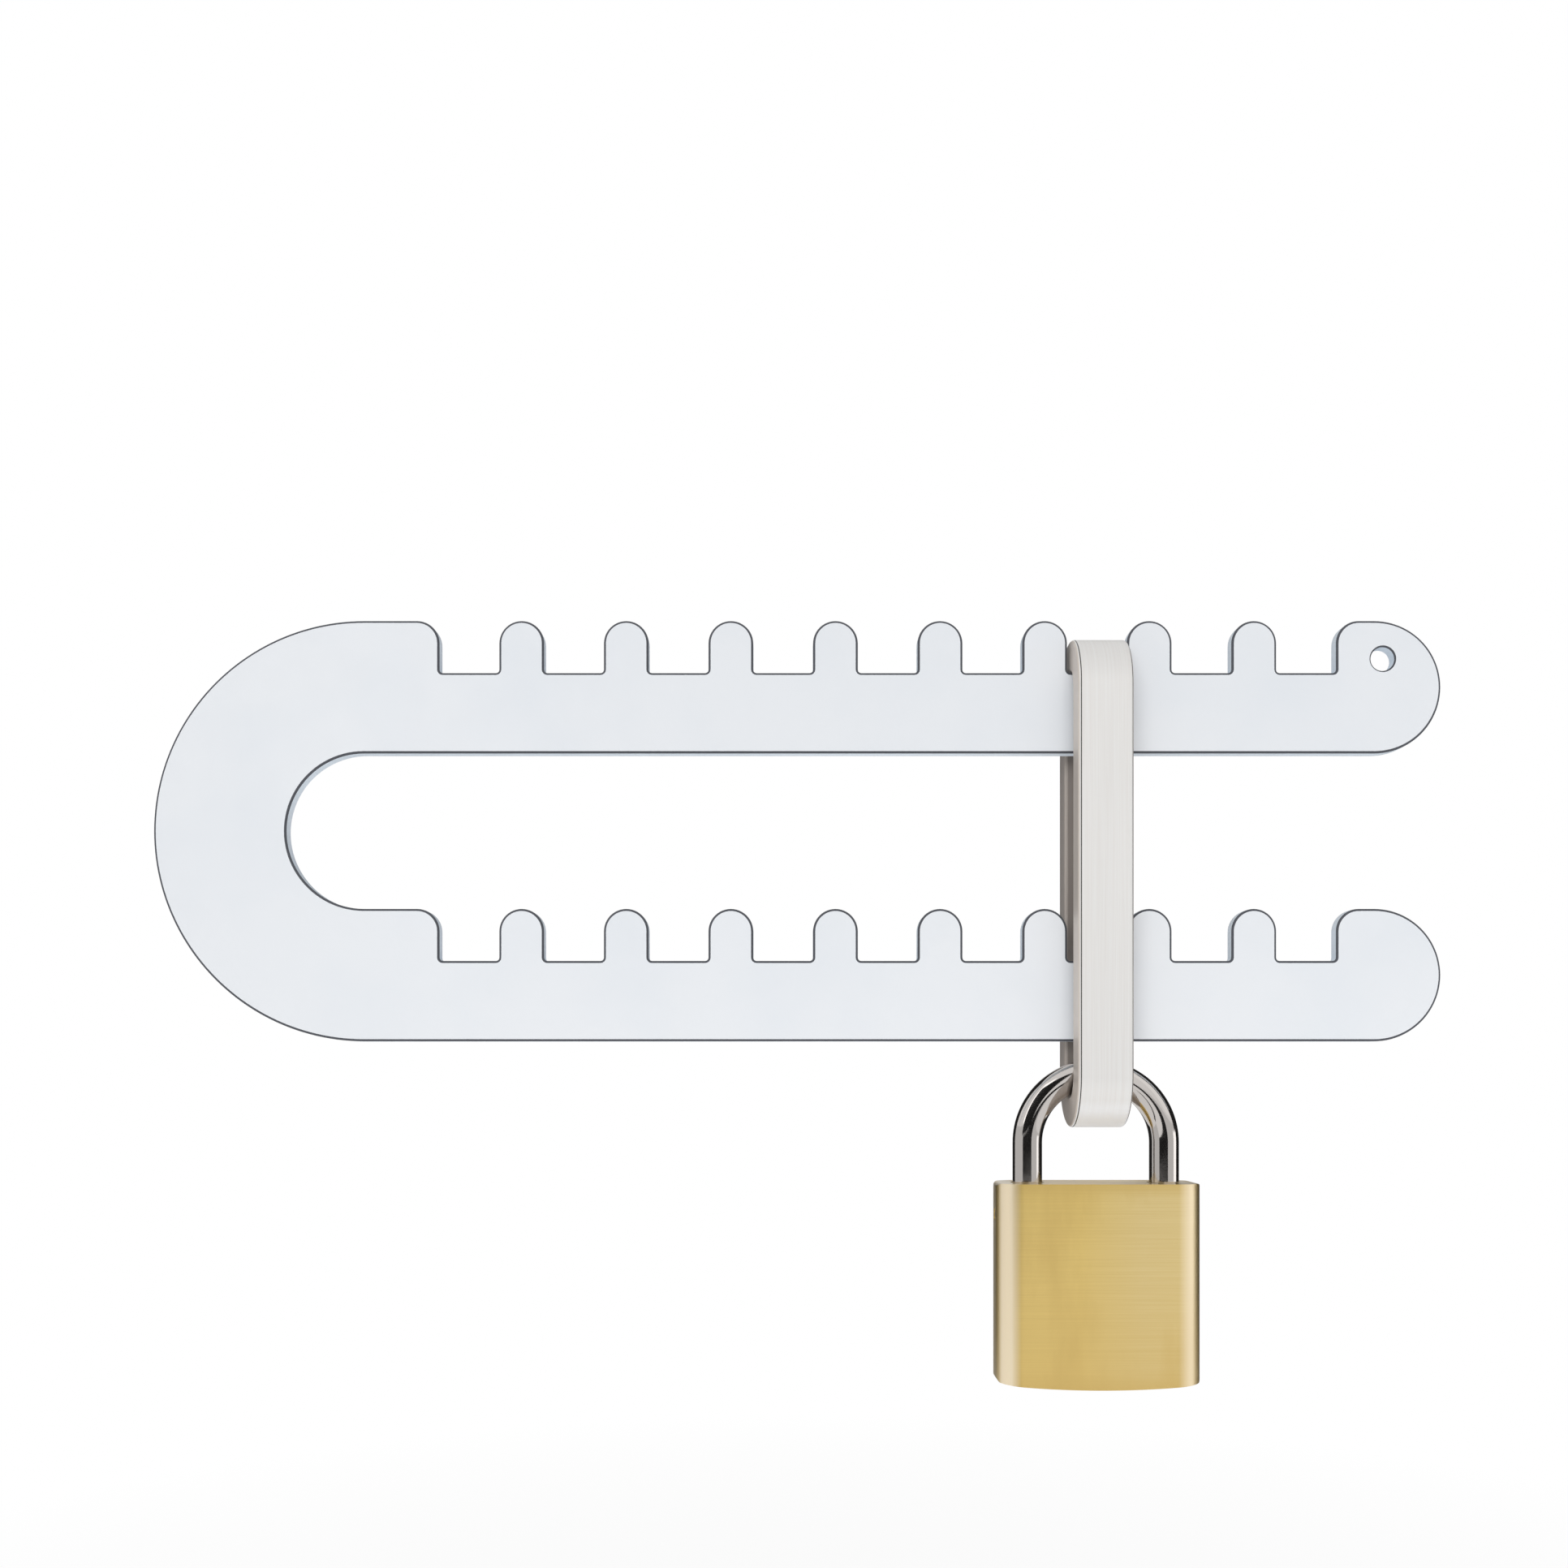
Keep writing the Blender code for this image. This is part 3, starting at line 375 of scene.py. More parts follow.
def near_end(radius, level, edge):
    """A pin's first end with its broken edge."""
    return [(0, level), (radius - edge, level), (radius, level + edge)]


def far_end(radius, level, edge):
    """A pin's other end with its broken edge."""
    return [(radius, level - edge), (radius - edge, level), (0, level)]


def mouth(radius, level, edge, way=1):
    """A bore's flared mouth, from inside outwards. The way is -1 where it opens downwards."""
    beyond = level + way * OVERRUN
    return [(radius, level - way * edge), (radius + edge, level), (radius + edge, beyond), (0, beyond)]


def blind_bore(radius, floor, level, edge):
    """A cutter's profile for a bore from its floor to its mouth."""
    return [(0, floor), (radius, floor), *mouth(radius, level, edge)]


def bevelled(bm, geom, width, steps, affect):
    """Rounds vertices or edges, and returns the new faces."""
    return bmesh.ops.bevel(
        bm,
        geom=geom,
        offset=width,
        offset_type="OFFSET",
        affect=affect,
        segments=steps,
        profile=0.5,
        material=-1,
    )["faces"]


def rounded(bm, corners):
    """Rounds corners of a flat outline. They are grouped as {(radius, steps): vertices}."""
    for (radius, steps), verts in corners.items():
        bevelled(bm, verts, radius, steps, "VERTICES")
    bmesh.ops.remove_doubles(bm, verts=bm.verts, dist=MERGE)


def outline(points, across="Y"):
    """A flat face from (a, b, radius, steps) corners, each rounded to its radius."""
    bm = bmesh.new()
    corners = {}
    verts = []
    for a, b, radius, steps in points:
        vert = bm.verts.new((a, 0, b) if across == "Y" else (a, b, 0))
        verts.append(vert)
        if radius:
            corners.setdefault((radius, steps), []).append(vert)
    bm.faces.new(verts)
    rounded(bm, corners)
    return bm


def box_corners(low, high, radius, steps):
    """Corners for the outline of a box seen from above, all rounded alike."""
    places = ((low.x, low.y), (high.x, low.y), (high.x, high.y), (low.x, high.y))
    return [(x, y, radius, steps) for x, y in places]


def thickened(bm, low, high, across="Y"):
    """Makes a flat face a slab between two levels of the axis across it."""
    axis = Vector((0, 1, 0)) if across == "Y" else Vector(UP)
    moved(bm, axis * low)
    top = bmesh.ops.extrude_face_region(bm, geom=bm.faces[:])["geom"]
    bmesh.ops.translate(bm, verts=only(BMVert, top), vec=axis * (high - low))
    return bm


def block(low, high):
    """A box between two corners."""
    low, high = Vector(low), Vector(high)
    bm = bmesh.new()
    bmesh.ops.create_cube(bm, size=1.0)
    bmesh.ops.scale(bm, verts=bm.verts, vec=high - low)
    return moved(bm, (low + high) / 2)


def swept(bm, ring, rise, scale=1.0):
    """Walls from a ring of edges to a copy of it, moved up and scaled about its own middle."""
    geom = bmesh.ops.extrude_edge_only(bm, edges=ring)["geom"]
    verts = only(BMVert, geom)
    centre = sum((v.co for v in verts), Vector()) / len(verts)
    bmesh.ops.scale(bm, verts=verts, vec=(scale, scale, scale), space=Matrix.Translation(-centre))
    bmesh.ops.translate(bm, verts=verts, vec=(0, 0, rise))
    return only(BMEdge, geom)


def bent(bm, ring, centre, axis, steps):
    """Walls from a ring of edges round half a turn to its copy."""
    verts = list(dict.fromkeys(v for e in ring for v in e.verts))
    return only(BMEdge, spun(bm, verts + ring, centre, axis, math.pi, steps))


def coiled(middle_radius, wire, start, end, turns):
    """A compression spring round Z between two levels, as one round wire with flat ends."""
    steps = turns * COIL_STEPS
    rise = end - start - wire
    bm = bmesh.new()
    bmesh.ops.create_circle(bm, cap_ends=False, radius=wire / 2, segments=WIRE_SIDES)
    bmesh.ops.rotate(bm, verts=bm.verts, matrix=Matrix.Rotation(RIGHT_ANGLE, 3, "X"))
    moved(bm, (middle_radius, 0, start + wire / 2))
    first = bm.edges[:]
    last = spun(bm, bm.verts[:] + first, ORIGIN, UP, FULL_TURN * turns, steps, dvec=(0, 0, rise / steps))
    for ring in (first, only(BMEdge, last)):
        bmesh.ops.edgeloop_fill(bm, edges=ring)
    return bm


def painted(faces, slot):
    """Gives faces one of their piece's materials."""
    for face in faces:
        face.material_index = slot


# Objects
def placed(name, data):
    """A new object in the scene, from its mesh, light or camera."""
    made = bpy.data.objects.new(name, data)
    bpy.context.scene.collection.objects.link(made)
    return made


def object_from(name, bm, *materials):
    """Closes a bmesh up, turns its faces outwards and makes it an object. Frees the bmesh."""
    bmesh.ops.remove_doubles(bm, verts=bm.verts, dist=MERGE)
    bmesh.ops.recalc_face_normals(bm, faces=bm.faces)
    mesh = bpy.data.meshes.new(name)
    bm.to_mesh(mesh)
    bm.free()
    for material in materials:
        mesh.materials.append(material)
    return placed(name, mesh)


def applied(piece):
    """Replaces a piece's mesh by what its modifiers make of it."""
    graph = bpy.context.evaluated_depsgraph_get()
    mesh = bpy.data.meshes.new_from_object(piece.evaluated_get(graph))
    piece.modifiers.clear()
    piece.data = mesh


def cut(piece, cutters, operation="DIFFERENCE"):
    """Cuts or joins each bmesh in turn, and leaves nothing of the cutters."""
    for bm in cutters:
        cutter = object_from(f"{piece.name}_cutter", bm, *piece.data.materials)
        modifier = piece.modifiers.new("cut", "BOOLEAN")
        modifier.operation = operation
        modifier.solver = "EXACT"
        modifier.object = cutter
        applied(piece)
        bpy.data.objects.remove(cutter)


def checked(piece):
    """Stops the script if a piece isn't closed."""
    bm = bmesh.new()
    bm.from_mesh(piece.data)
    open_edges = sum(not e.is_manifold for e in bm.edges)
    bm.free()
    if open_edges:
        raise RuntimeError(f"{piece.name} has {open_edges} open edges")


def finished(piece, body, node):
    """Checks and shades a piece, and hands it to the body that carries the node it stands for."""
    checked(piece)
    piece.data.shade_smooth()
    piece.data.set_sharp_from_angle(angle=SHARP)
    piece.modifiers.new("even_shading", "WEIGHTED_NORMAL").keep_sharp = True
    applied(piece)
    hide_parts(node)
    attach(piece, body)


# Nodes
def fed(node, inputs):
    """Gives each of a node's inputs its value, or links it to the socket that is given."""
    for name, value in inputs.items():
        if isinstance(value, bpy.types.NodeSocket):
            node.id_data.links.new(value, node.inputs[name])
        else:
            node.inputs[name].default_value = value


def added(owner, kind, inputs=None, **settings):
    """A new node of a material or world, with its settings and inputs."""
    node = owner.node_tree.nodes.new(kind)
    for name, value in settings.items():
        setattr(node, name, value)
    fed(node, inputs or {})
    return node


def shader_of(material):
    return material.node_tree.nodes["Principled BSDF"]


def material_named(name, tint, roughness, metallic=1.0, inputs=None):
    """A new material. Further inputs of its shader are given by name."""
    material = bpy.data.materials.new(name)
    material.use_nodes = True
    shader = shader_of(material)
    fed(shader, {"Base Color": (*tint, 1.0), "Metallic": metallic, "Roughness": roughness})
    fed(shader, inputs or {})
    return material


def centred(material, centre):
    """A copy of a material whose patterns are centred on a piece."""
    copy = material.copy()
    for node in copy.node_tree.nodes:
        if node.type == "MAPPING":
            scale = node.inputs["Scale"].default_value
            node.inputs["Location"].default_value = [-c * s for c, s in zip(centre, scale)]
    return copy


def place_on(material):
    """Where a point of the piece is."""
    return added(material, "ShaderNodeTexCoord").outputs["Object"]


def position(material, axis):
    """How far along an axis a point of the piece is."""
    parts = added(material, "ShaderNodeSeparateXYZ", {"Vector": place_on(material)})
    return parts.outputs[axis]


def pattern(material, stretch, kind="ShaderNodeTexNoise", detail=2.0, **settings):
    """A texture over the piece. The stretch says how often it repeats in a metre along each axis."""
    mapping = added(material, "ShaderNodeMapping", {"Vector": place_on(material), "Scale": stretch})
    inputs = {"Vector": mapping.outputs["Vector"], "Scale": 1.0, "Detail": detail}
    return added(material, kind, inputs, **settings).outputs["Fac"]


def mapped(material, value, low, high, out_low=0.0, out_high=1.0):
    """Stretches part of a value's range over another range."""
    inputs = {"Value": value, "From Min": low, "From Max": high, "To Min": out_low, "To Max": out_high}
    return added(material, "ShaderNodeMapRange", inputs).outputs["Result"]


def calculated(owner, operation, first, second):
    """What a Math node makes of two values."""
    return added(owner, "ShaderNodeMath", {0: first, 1: second}, operation=operation).outputs[0]


def layered(owner, share, first, second):
    """A node that turns from one shader to another, by a share from 0 to 1."""
    return added(owner, "ShaderNodeMixShader", {0: share, 1: first.outputs[0], 2: second.outputs[0]})


def shown(owner, output, node):
    """Makes a node's shader what a material or world shows."""
    fed(owner.node_tree.nodes[output], {"Surface": node.outputs[0]})


def tinted(material, share, first, second):
    """Colours a material between two colours, by a share from 0 to 1."""
    inputs = {MIX_SHARE: share}
    for socket, tint in ((MIX_FIRST, first), (MIX_SECOND, second)):
        inputs[socket] = tint if isinstance(tint, bpy.types.NodeSocket) else (*tint, 1.0)
    result = added(material, "ShaderNodeMix", inputs, data_type="RGBA").outputs[MIX_RESULT]
    fed(shader_of(material), {"Base Color": result})
    return result


def roughened(material, value, low, high):
    """Lets the roughness follow a pattern."""
    fed(shader_of(material), {"Roughness": mapped(material, value, *PATTERN_MIDDLE, low, high)})


def embossed(material, value, depth, strength):
    """Raises the surface by a pattern. The depth is in metres."""
    inputs = {"Height": value, "Distance": depth, "Strength": strength}
    bump = added(material, "ShaderNodeBump", inputs)
    fed(shader_of(material), {"Normal": bump.outputs["Normal"]})


# Finishes
def powder_coat(name, coat, shade=None):
    """Smooth powder coating with a fine orange peel, and faintly cloudy where it has a shade."""
    material = material_named(name, coat, metallic=0.0, roughness=0.42, inputs={"Specular IOR Level": 0.15})
    if shade is not None:
        cloudy = pattern(material, COAT_CLOUDS, detail=3.0)
        tinted(material, mapped(material, cloudy, low=0.42, high=0.72), coat, shade)
    roughened(material, pattern(material, COAT_MOTTLE), low=0.36, high=0.5)
    embossed(material, pattern(material, COAT_PEEL, detail=1.0), depth=0.03 * MM, strength=0.5)
    return material


def satin_steel(name, steel, shade=None, fade=None):
    """A flat bar, ground along its length and dulled.

    A shade lies in the strokes, or, as painted shade, takes over along the (axis, start, end) of a fade.
    """
    material = material_named(name, steel, metallic=0.22, roughness=0.4)
    strokes = pattern(material, STEEL_STROKES, detail=3.0)
    if fade is not None:
        tinted(material, mapped(material, position(material, fade[0]), *fade[1:]), steel, shade)
    elif shade is not None:
        tinted(material, mapped(material, strokes, low=0.3, high=0.8), steel, shade)
    roughened(material, pattern(material, STEEL_BANDS, detail=3.0), low=0.36, high=0.44)
    embossed(material, strokes, depth=0.002 * MM, strength=0.4)
    return material


def bright_chrome(settings):
    """Polished chrome with the faint bloom and wear of handling."""
    material = material_named("shackle_chrome", settings.chrome, roughness=0.07)
    roughened(material, pattern(material, CHROME_BLOOM, detail=4.0), low=0.05, high=0.13)
    embossed(material, pattern(material, CHROME_RIPPLE, detail=1.0), depth=0.02 * MM, strength=0.15)
    return material


def brushed_brass(settings):
    """Brass brushed level round the case, a little blotchy, with painted highlights down its corners and
    painted shade at its ends.
    """
    sockets = {"Anisotropic": 0.4, "Anisotropic Rotation": 0.25, "Coat Weight": 1.0, "Coat Roughness": 0.3}
    material = material_named("brushed_case_brass", settings.brass, roughness=0.33, inputs=sockets)
    dark = settings.brass_grain_and_shade
    strokes = pattern(material, BRASS_STROKES, detail=4.0)
    clouds = pattern(material, BRASS_CLOUDS, detail=4.0)
    across = position(material, "X")
    tint = tinted(material, mapped(material, across, *PALER_HALF), settings.brass, settings.brass_pale)
    tint = tinted(material, mapped(material, strokes, *PATTERN_MIDDLE, out_high=0.35), tint, dark)
    tint = tinted(material, mapped(material, clouds, low=0.46, high=0.64, out_high=0.5), tint, dark)
    level = position(material, "Z")
    # Painted shade: darker towards the case's underside and along its top and bottom edges
    for end, inwards, share in PAINTED_SHADE_AT_ENDS:
        tint = tinted(material, mapped(material, level, end, end + inwards, share, 0.0), tint, dark)
    # Painted highlights: paler bands down the case's upright corners
    for edge, inwards, share, places in PAINTED_CORNER_HIGHLIGHTS:
        start, full, fading, gone = (edge + inwards * place for place in places)
        rising = mapped(material, across, start, full)
        falling = mapped(material, across, fading, gone, share, 0.0)
        painted_highlight = calculated(material, "MULTIPLY", rising, falling)
        tint = tinted(material, painted_highlight, tint, settings.brass_painted_highlight)
    roughened(material, clouds, low=0.42, high=0.48)
    embossed(material, strokes, depth=0.006 * MM, strength=0.5)
    tangent = added(material, "ShaderNodeTangent", direction_type="RADIAL", axis="Z")
    fed(shader_of(material), {"Tangent": tangent.outputs["Tangent"]})
    return material


def turned_brass(settings, axis):
    """Brass as the lathe leaves it, with rings round its axis."""
    material = material_named(f"turned_brass_{axis.lower()}", settings.turned, roughness=0.34)
    rings = pattern(material, LATHE_RINGS, "ShaderNodeTexWave", wave_type="RINGS", rings_direction=axis)
    clouds = pattern(material, LATHE_CLOUDS, detail=3.0)
    tinted(material, mapped(material, clouds, low=0.3, high=0.75), settings.brass_light, settings.turned)
    roughened(material, clouds, low=0.28, high=0.42)
    embossed(material, rings, depth=0.006 * MM, strength=0.5)
    return material


def ground_steel(name, tint, stretch, roughness):
    """Hardened or drawn steel, with fine marks along one way."""
    material = material_named(name, tint, roughness)
    marks = pattern(material, stretch, detail=3.0)
    shade = [MARK_SHADE * channel for channel in tint]
    tinted(material, mapped(material, marks, low=0.3, high=0.75), tint, shade)
    roughened(material, marks, low=roughness - 0.06, high=roughness + 0.08)
    embossed(material, marks, depth=0.004 * MM, strength=0.4)
    return material


# U plate
def arm_height(plate):
    return plate.arm_root + plate.tooth_height


def arm_teeth(plate, base):
    """Corners of an arm's toothed edge, from its last notch to its first."""
    top = base + arm_height(plate)
    floor = base + plate.arm_root
    tip = (plate.tooth_width / 2, TOOTH_STEPS)
    fillet = (plate.notch_fillet, FILLET_STEPS)
    first = PLATE_LOW.x + plate.arm_gap / 2 + arm_height(plate) + plate.bend_lead
    corners = []
    for number in reversed(range(plate.notches)):
        left = first + number * (plate.notch_width + plate.tooth_width)
        right = left + plate.notch_width
        corners += [(right, top, *tip), (right, floor, *fillet), (left, floor, *fillet), (left, top, *tip)]
    return corners


def plate_corners(plate):
    """Corners of the U seen from the front, each with its radius and steps."""
    height = arm_height(plate)
    lower = -height - plate.arm_gap
    end = (height / 2, ARM_END_STEPS)
    outer = (plate.arm_gap / 2 + height, BEND_STEPS)
    inner = (plate.arm_gap / 2, ARM_END_STEPS)
    inside = PLATE_LOW.x + height
    return [
        (PLATE_HIGH.x, 0, *end),
        (PLATE_HIGH.x, height, *end),
        *arm_teeth(plate, 0),
        (PLATE_LOW.x, height, *outer),
        (PLATE_LOW.x, lower, *outer),
        (PLATE_HIGH.x, lower, *end),
        (PLATE_HIGH.x, lower + height, *end),
        *arm_teeth(plate, lower),
        (inside, -plate.arm_gap, *inner),
        (inside, 0, *inner),
    ]


def facing(bm):
    """The faces that look to the front or the back."""
    bm.normal_update()
    return [f for f in bm.faces if abs(f.normal.y) > LIES_ACROSS]


class HANDLELOCK_OT_plate(Operator):
    """Cut the notched U plate and coat it"""

    bl_idname = "handlelock.plate"
    bl_label = "Add U Plate"

    def execute(self, context):
        plate = context.scene.lock_plate
        coats = (
            powder_coat("plate_powder_coat", plate.coat, plate.coat_shade),
            powder_coat("plate_edge_painted_shade", plate.rim_painted_shade),
            powder_coat("plate_cut_wall_painted_light", plate.wall_painted_light),
        )
        bm = thickened(outline(plate_corners(plate)), PLATE_LOW.y, PLATE_HIGH.y)
        flat = facing(bm)
        # The walls take the painted light
        painted(set(bm.faces) - set(flat), WALL)
        edges = list(dict.fromkeys(e for f in flat for e in f.edges))
        # The broken edge and the strip beside it take the dark painted shade
        painted(bevelled(bm, edges, plate.rim, RIM_STEPS, "EDGES"), RIM)
        flat = facing(bm)
        inset = bmesh.ops.inset_region(bm, faces=flat, thickness=plate.thin_edge, use_even_offset=True)
        painted(inset["faces"], RIM)
        piece = object_from("coated_u_plate", bm, *coats)

        radius = plate.tether_radius
        half = (PLATE_HIGH.y - PLATE_LOW.y) / 2
        profile = mouth(radius, -half, plate.rim, -1)[::-1] + mouth(radius, half, plate.rim)
        end_centre = PLATE_HIGH.x - arm_height(plate) / 2
        centre = (end_centre + plate.tether_along, 0, arm_height(plate) / 2 + plate.tether_up)
        hole = turned(profile, "Y", centre, BORE_SIDES)
        # The hole's broken edge takes the painted shade, its wall the painted light
        for face in hole.faces:
            leaning = RUNS_ALONG < abs(face.normal.y) < LIES_ACROSS
            face.material_index = RIM if leaning else WALL
        cut(piece, [hole])
        finished(piece, "plate_body", "u_plate")
        return {"FINISHED"}


class HANDLELOCK_OT_loop(Operator):
    """Bend the flat bar into the closed loop round both arms"""

    bl_idname = "handlelock.loop"
    bl_label = "Add Locking Loop"

    def execute(self, context):
        loop = context.scene.lock_loop
        half = Vector(((LOOP_HIGH.x - LOOP_LOW.x) / 2, loop.thickness / 2))
        outer = (LOOP_HIGH.y - LOOP_LOW.y) / 2
        upper = LOOP_HIGH.z - outer
        lower = LOOP_LOW.z + outer
        bm = outline(box_corners(-half, half, loop.edge, EDGE_STEPS), across="Z")
        moved(bm, (middle("locking_loop").x, outer - loop.thickness / 2, upper))
        bmesh.ops.delete(bm, geom=bm.faces[:], context="FACES_ONLY")
        ring = bent(bm, bm.edges[:], (0, 0, upper), (1, 0, 0), LOOP_STEPS)
        ring = swept(bm, ring, lower - upper)
        ring = bent(bm, ring, (0, 0, lower), (1, 0, 0), LOOP_STEPS)
        swept(bm, ring, upper - lower)
        bmesh.ops.recalc_face_normals(bm, faces=bm.faces)
        for face in bm.faces:
            centre = face.calc_center_median()
            centre.z -= min(max(centre.z, lower), upper)
            centre.x = 0
            outside = face.normal.dot(centre) > 0
            leaning = face.normal.x
            if abs(leaning) < RUNS_ALONG:
                # Inner faces take the darker painted shade
                face.material_index = FACE if outside else INSIDE
            # Faces that take the painted dark line
            elif outside and any(least < leaning < most for least, most in LINE_LEANS):
                face.material_index = LINE
            # The narrow sides, which take the painted shade
            elif not outside or abs(leaning) > SIDE_LEAN:
                face.material_index = SIDE
        face_steel = satin_steel("satin_loop_steel", loop.steel, loop.shade)
        ground = shader_of(face_steel).inputs["Base Color"].links[0].from_socket
        # Painted highlight towards the bottom of the lower bend
        painted_bend_light = mapped(face_steel, position(face_steel, "Z"), *BEND_PAINTED_LIGHT)
        tinted(face_steel, painted_bend_light, ground, loop.bend)
        piece = object_from(
            "round_edged_loop",
            bm,
            face_steel,
            satin_steel("painted_shade_loop_line", loop.line),
            satin_steel("satin_loop_side_painted_shade", loop.side, loop.side_painted_shade, ("Y", -outer / 2, outer)),
            satin_steel("painted_shade_loop_inside", loop.inside, loop.side_painted_shade),
        )
        finished(piece, "loop_body", "locking_loop")
        return {"FINISHED"}


# Padlock
def leg_places(lock):
    """The middle of the toe leg and of the heel leg, along the arms."""
    return PLUG_AXIS + lock.leg_spacing / 2, PLUG_AXIS - lock.leg_spacing / 2


def latch_cavity(lock):
    """A latch's notch in its leg, as (radius, distance) from the plug's axis, grown by the fit."""
    back = lock.cam_base + FIT
    tip = lock.leg_spacing / 2 - lock.rod_radius - FIT + lock.latch_travel + FIT
    shoulder = tip - lock.nose_length
    wide = lock.latch_radius + FIT
    return [(0, back), (wide, back), (wide, shoulder), (lock.nose_radius + FIT, tip), (0, tip)]


class HANDLELOCK_OT_shackle(Operator):
    """Bend the chromed rod, and cut its notches"""

    bl_idname = "handlelock.shackle"
    bl_label = "Add Shackle"

    def execute(self, context):
        lock = context.scene.lock_padlock
        toe, heel = leg_places(lock)
        crown = SHACKLE_HIGH.z - lock.rod_radius - lock.leg_spacing / 2
        toe_end = LATCH_LEVEL - lock.latch_radius - lock.toe_tail
        neck = LATCH_LEVEL - lock.release_travel
        half_neck = lock.latch_radius + FIT
        edge = lock.leg_chamfer
        shrink = (lock.rod_radius - edge) / lock.rod_radius
        narrow = lock.neck_radius / lock.rod_radius

        bm = bmesh.new()
        bmesh.ops.create_circle(bm, cap_ends=False, radius=lock.rod_radius - edge, segments=ROD_SIDES)
        moved(bm, (toe, 0, toe_end))
        ends = bm.edges[:]
        ring = swept(bm, bm.edges[:], edge, 1 / shrink)
        ring = swept(bm, ring, crown - toe_end - edge)
        ring = bent(bm, ring, (PLUG_AXIS, 0, crown), (0, -1, 0), CROWN_STEPS)
        ring = swept(bm, ring, neck + half_neck - crown)
        ring = swept(bm, ring, 0, narrow)
        ring = swept(bm, ring, -2 * half_neck)
        ring = swept(bm, ring, 0, 1 / narrow)
        ring = swept(bm, ring, SHACKLE_LOW.z + edge - neck + half_neck)
        ends += swept(bm, ring, -edge, shrink)
        bmesh.ops.edgeloop_fill(bm, edges=ends)
        piece = object_from("chromed_shackle", bm, bright_chrome(lock))

        half_slot = lock.stop_pin_radius + FIT
        floor = heel - lock.rod_radius + lock.stop_pin_bite + FIT
        slot_low = (floor - lock.rod_radius, -half_slot, neck)
        slot = block(slot_low, (floor, half_slot, STOP_PIN_LEVEL + half_slot))
        centre = (PLUG_AXIS, 0, LATCH_LEVEL)
        notches = [turned(latch_cavity(lock), along, centre, BORE_SIDES) for along in ("X", "-X")]
        cut(piece, [slot, *notches])
        finished(piece, "shackle_body", "shackle")
        return {"FINISHED"}


def case_outline(lock):
    """The case from the front: round corners, and an underside that bellies."""
    half_width = (CASE_HIGH.x - CASE_LOW.x) / 2
    radius = (half_width**2 + lock.dome**2) / (2 * lock.dome)
    swing = math.asin(half_width / radius)
    bm = bmesh.new()
    start = bm.verts.new((-half_width, 0, lock.dome))
    last = spun(bm, [start], (0, 0, radius), (0, -1, 0), 2 * swing, CROWN_STEPS)
    end = only(BMVert, last)[0]
    top = CASE_HIGH.z - CASE_LOW.z
    top_right = bm.verts.new((half_width, 0, top))
    top_left = bm.verts.new((-half_width, 0, top))
    for pair in ((end, top_right), (top_right, top_left), (top_left, start)):
        bm.edges.new(pair)
    bmesh.ops.contextual_create(bm, geom=bm.edges[:])
    upper, lower = (lock.top_corner, EDGE_STEPS), (lock.bottom_corner, EDGE_STEPS)
    rounded(bm, {upper: [top_left, top_right], lower: [start, end]})
    return moved(bm, (PLUG_AXIS, 0, CASE_LOW.z))


class HANDLELOCK_OT_case(Operator):
    """Shape, bore and brush the brass lock case"""

    bl_idname = "handlelock.case"
    bl_label = "Add Lock Case"

    def execute(self, context):
        lock = context.scene.lock_padlock
        bm = thickened(case_outline(lock), CASE_LOW.y - OVERRUN, CASE_HIGH.y + OVERRUN)
        piece = object_from("brushed_lock_case", bm, brushed_brass(lock))
        plan = outline(box_corners(CASE_LOW, CASE_HIGH, lock.rounding, CASE_CORNER_STEPS), "Z")
        thickened(plan, CASE_LOW.z - OVERRUN, CASE_HIGH.z + OVERRUN, "Z")
        cut(piece, [plan], "INTERSECT")

        edge = lock.mouth
        bore = lock.plug_radius + FIT
        cam_bore = lock.collar_radius + FIT
        collar = PLUG_HIGH.z + FIT
        roof = CAM_HIGH.z + FIT
        core = mouth(bore, CASE_LOW.z, edge, -1)[::-1]
        core += [(bore, collar), (cam_bore, collar), (cam_bore, roof), (0, roof)]
        cutters = [turned(core, "Z", PLUG_CENTRE, BORE_SIDES)]

        toe, heel = leg_places(lock)
        toe_floor = LATCH_LEVEL - lock.latch_radius - lock.toe_tail - lock.toe_room
        heel_floor = SHACKLE_LOW.z - 2 * FIT - lock.spring_length
        for across, floor in ((toe, toe_floor), (heel, heel_floor)):
            profile = blind_bore(lock.rod_radius + FIT, floor, CASE_HIGH.z, edge)
            cutters.append(turned(profile, "Z", (across, 0, 0), BORE_SIDES))

        outside = (CASE_HIGH.x - CASE_LOW.x) / 2
        leg = lock.leg_spacing / 2
        groove = lock.groove_radius
        side_bores = [
            ("X", LATCH_LEVEL, lock.latch_radius, -leg, edge / 2),
            ("-X", STOP_PIN_LEVEL, lock.stop_pin_radius, leg, FINE_EDGE),
            ("X", GROOVE_LEVEL, lock.retainer_radius, groove, edge / 2),
            *(("X", level, lock.pin_radius, groove, edge / 2) for level in PIN_LEVELS),
        ]
        for along, level, radius, start, broken_edge in side_bores:
            profile = blind_bore(radius + FIT, start, outside, broken_edge)
            cutters.append(turned(profile, along, (PLUG_AXIS, 0, level)))
        cut(piece, cutters)
        finished(piece, "case_body", "lock_case")
        return {"FINISHED"}


